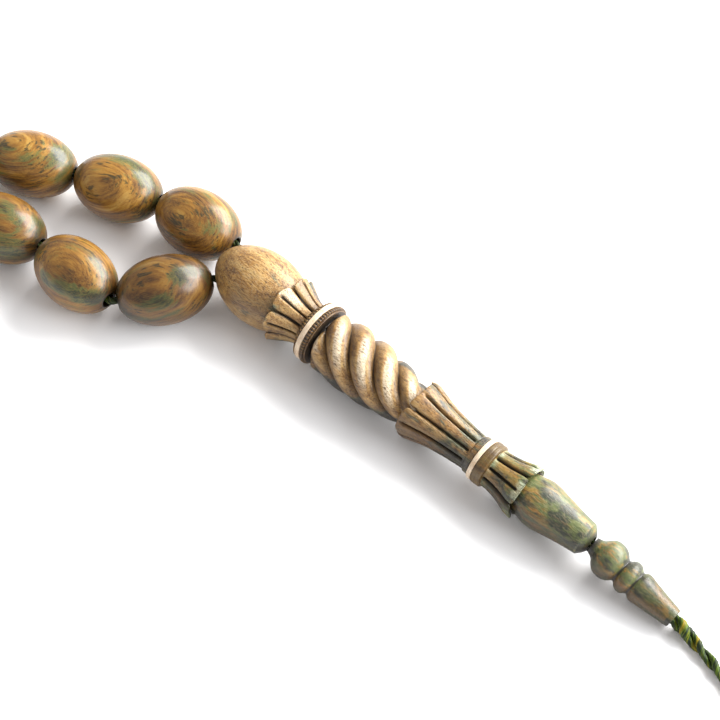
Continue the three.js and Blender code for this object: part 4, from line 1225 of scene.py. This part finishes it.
def finial():
    p = Profile()
    p.curve([[-0.12, 0.90], [0.15, 0.97], [0.6, 1.17], [1.0, 1.62], [1.5, 2.02], [2.3, 2.15], [2.9, 2.02], [3.35, 1.74], [3.62, 1.46], [3.77, 1.36]], 0.08, "ball")
    p.curve([[3.77, 1.36], [3.92, 1.46], [4.15, 1.68], [4.5, 1.86], [4.85, 1.88], [5.18, 1.76], [5.42, 1.54], [5.60, 1.42]], 0.07, "ring")
    p.curve([[5.60, 1.42], [5.74, 1.48], [5.98, 1.66], [6.28, 1.73], [7.3, 1.57], [8.6, 1.38], [9.8, 1.21], [10.35, 1.13]], 0.10, "cone")
    p.line([[10.35, 1.13], [10.68, 1.08], [10.75, 1.0], [10.75, 0.78]], 0.06, "end")
    p.line([[10.75, 0.78], [-0.12, 0.78], [-0.12, 0.90]], 0.4, "inner")
    nphi = 200
    X, R, PHI, T = p.grid(nphi)
    X, R, T = X[:-1], R[:-1], T[:-1]
    deg = np.degrees(PHI)[None, :]
    recess_dirt_and_shade = np.zeros_like(X)
    # Painted shade, with some dirt, in the coves, at the neck and in the bore.
    recess_dirt_and_shade = np.maximum(recess_dirt_and_shade, 0.7 * np.exp(-((X - 3.78) / 0.17) ** 2) * (T != "inner")[:, None])
    recess_dirt_and_shade = np.maximum(recess_dirt_and_shade, 0.7 * np.exp(-((X - 5.61) / 0.16) ** 2) * (T != "inner")[:, None])
    recess_dirt_and_shade = np.maximum(recess_dirt_and_shade, 0.75 * (1 - sstep(-0.1, 0.8, X)))
    recess_dirt_and_shade[T == "inner"] = 1.0
    P = np.stack([X, -R * np.sin(PHI), R * np.cos(PHI)], -1)
    R = R + (T != "inner")[:, None] * 0.018 * wave(P * 0.9, 12)
    P = np.stack([X, -R * np.sin(PHI), R * np.cos(PHI)], -1)
    tint = 0.69 - np.interp(X, [3.0, 3.8, 5.2, 6.0], [0.18, 0.34, 0.34, 0.50]) * np.exp(-((deg - 60) / 22) ** 2)
    tint = np.where(X > 10.2, 0.66, tint)
    # Painted shade on the lower side; the cone darker.
    shade = 0.20 + 0.74 * sstep(34, 80, deg) * (1 - sstep(235, 280, deg)) + 0.42 * sstep(5.6, 6.4, X)
    return P, T, recess_dirt_and_shade, tint, np.clip(shade, 0, 1)


P, T, recess_dirt_and_shade, tint, shade = finial()
ob, flat = lofted_ring("finial_turned", P, place_finial)
finish_piece(ob, flat, "finial", "finial", OLIVE_WOOD, recess_dirt_and_shade, tint, 2.2, 71.0, shade)


def bone_ring(name, node, x0, x1, r, inner, nphi):
    b = 0.10
    p = Profile()
    p.line([[x0, inner], [x0, r - b]], 0.15, "face")
    p.curve([[x0, r - b], [x0 + 0.03, r - 0.03], [x0 + b, r]], 0.03, "edge")
    p.line([[x0 + b, r], [x1 - b, r]], 0.06, "out")
    p.curve([[x1 - b, r], [x1 - 0.03, r - 0.03], [x1, r - b]], 0.03, "edge")
    p.line([[x1, r - b], [x1, inner]], 0.15, "face")
    p.line([[x1, inner], [x0, inner]], 0.2, "face")
    X, R, PHI, T = p.grid(nphi)
    X, R, T = X[:-1], R[:-1], T[:-1]
    P = np.stack([X, -R * np.sin(PHI), R * np.cos(PHI)], -1)
    R = R + 0.012 * wave(P * 1.3, 21) * (T != "face")[:, None]
    P = np.stack([X + 0.012 * np.sin(3 * PHI + x0)[None, :], -R * np.sin(PHI), R * np.cos(PHI)], -1)
    # Painted shade, with some dirt, towards the faces and bevels.
    recess_dirt_and_shade = 0.55 * (1 - sstep(r - 0.16, r - 0.05, R))
    ob, flat = lofted_ring(name, P, place_imame)
    return finish_piece(ob, flat, "imame", node, BONE, recess_dirt_and_shade, np.zeros_like(recess_dirt_and_shade), 0.0, 5.0 + x0)


bone_ring("bone_ring_1_bevelled", "bone_ring_1", -6.17, -5.53, 3.72, 2.15, 240)
bone_ring("bone_ring_2_bevelled", "bone_ring_2", 17.50, 18.05, 2.56, 1.5, 200)


def separator(name, centre, way, seed):
    """A small turned divider: a knife-edged disc between two coves and two collars."""
    p = Profile()
    p.curve([[-2.25, 1.12], [-2.22, 1.36], [-2.08, 1.52], [-1.86, 1.62], [-1.66, 1.60]], 0.06, "collar")
    p.curve([[-1.66, 1.60], [-1.52, 1.72], [-1.34, 2.20], [-1.22, 2.85], [-1.10, 3.30]], 0.07, "cove")
    p.line([[-1.10, 3.30], [-0.98, 3.38], [-0.92, 3.30], [-0.84, 3.42]], 0.05, "line")
    p.curve([[-0.84, 3.42], [-0.62, 3.74], [-0.30, 3.87], [0.0, 3.90], [0.30, 3.87], [0.62, 3.74], [0.84, 3.42]], 0.07, "disc")
    p.line([[0.84, 3.42], [0.92, 3.30], [0.98, 3.38], [1.10, 3.30]], 0.05, "line")
    p.curve([[1.10, 3.30], [1.22, 2.85], [1.34, 2.20], [1.52, 1.72], [1.66, 1.60]], 0.07, "cove")
    p.curve([[1.66, 1.60], [1.86, 1.62], [2.08, 1.52], [2.22, 1.36], [2.25, 1.12]], 0.06, "collar")
    p.line([[2.25, 1.12], [2.12, 0.86], [1.9, 0.78], [-1.9, 0.78], [-2.12, 0.86], [-2.25, 1.12]], 0.25, "inner")
    X, R, PHI, T = p.grid(180)
    X, R, T = X[:-1], R[:-1], T[:-1]
    recess_dirt_and_shade = np.zeros_like(X)
    # Painted shade, with some dirt, in the cut lines and the bore.
    for x in (-0.92, 0.92, -1.62, 1.62):
        recess_dirt_and_shade = np.maximum(recess_dirt_and_shade, 0.85 * np.exp(-((X - x) / 0.07) ** 2))
    recess_dirt_and_shade[T == "inner"] = 1.0
    P = np.stack([X, -R * np.sin(PHI), R * np.cos(PHI)], -1)
    place, _ = place_on(centre, way)
    ob, flat = lofted_ring(name + "_turned", P, place)
    tint = 0.25 + 0.25 * np.sin(PHI + seed)[None, :] + 0.0 * X
    return finish_piece(ob, flat, name, name, OLIVE_WOOD, recess_dirt_and_shade, tint, seed, 90.0 + 11 * seed)


for i, (name, kind, centre, way) in enumerate(STRUNG):
    if kind == "separator":
        separator(name, centre, way, 1.0 + 0.3 * i)


# -------------------------------------------------------------- floor, lights
fm = Mat("floor_white")
fm.set(Base_Color=lin(238, 238, 240), Roughness=0.85, Specular_IOR_Level=0.2)
floor = new_object("floor", np.array([[-3, -3, 0], [3, -3, 0], [3, 3, 0], [-3, 3, 0]], float), np.array([[0, 1, 2, 3]]), smooth=False)
floor.data.materials.append(fm.m)


def area(name, direction, distance, size, size_y, power, colour, aim=(0, 0, 4)):
    d = np.asarray(direction, float)
    d /= np.linalg.norm(d)
    light = bpy.data.lights.new(name, "AREA")
    light.shape = "RECTANGLE"
    light.size, light.size_y = size, size_y
    light.energy = power
    light.color = colour
    ob = bpy.data.objects.new(name, light)
    bpy.context.scene.collection.objects.link(ob)
    ob.location = Vector(row(aim)) + Vector(d) * distance
    ob.rotation_mode = "QUATERNION"
    ob.rotation_quaternion = Vector(-d).to_track_quat("-Z", "Y")
    return ob


area("window", (0.74, 0.48, 0.52), 0.9, 0.75, 0.42, 11.5, (0.96, 0.985, 1.0))
area("sky", (0.20, 0.90, 0.58), 1.1, 0.85, 0.75, 31.0, (1.0, 0.985, 0.96))
world = bpy.data.worlds.new("studio")
world.use_nodes = True
bg = world.node_tree.nodes["Background"]
bg.inputs[0].default_value = (1.0, 0.965, 0.935, 1)
bg.inputs[1].default_value = 0.68
bpy.context.scene.world = world
bpy.context.scene.view_settings.view_transform = "Standard"
bpy.context.scene.view_settings.exposure = 0.0
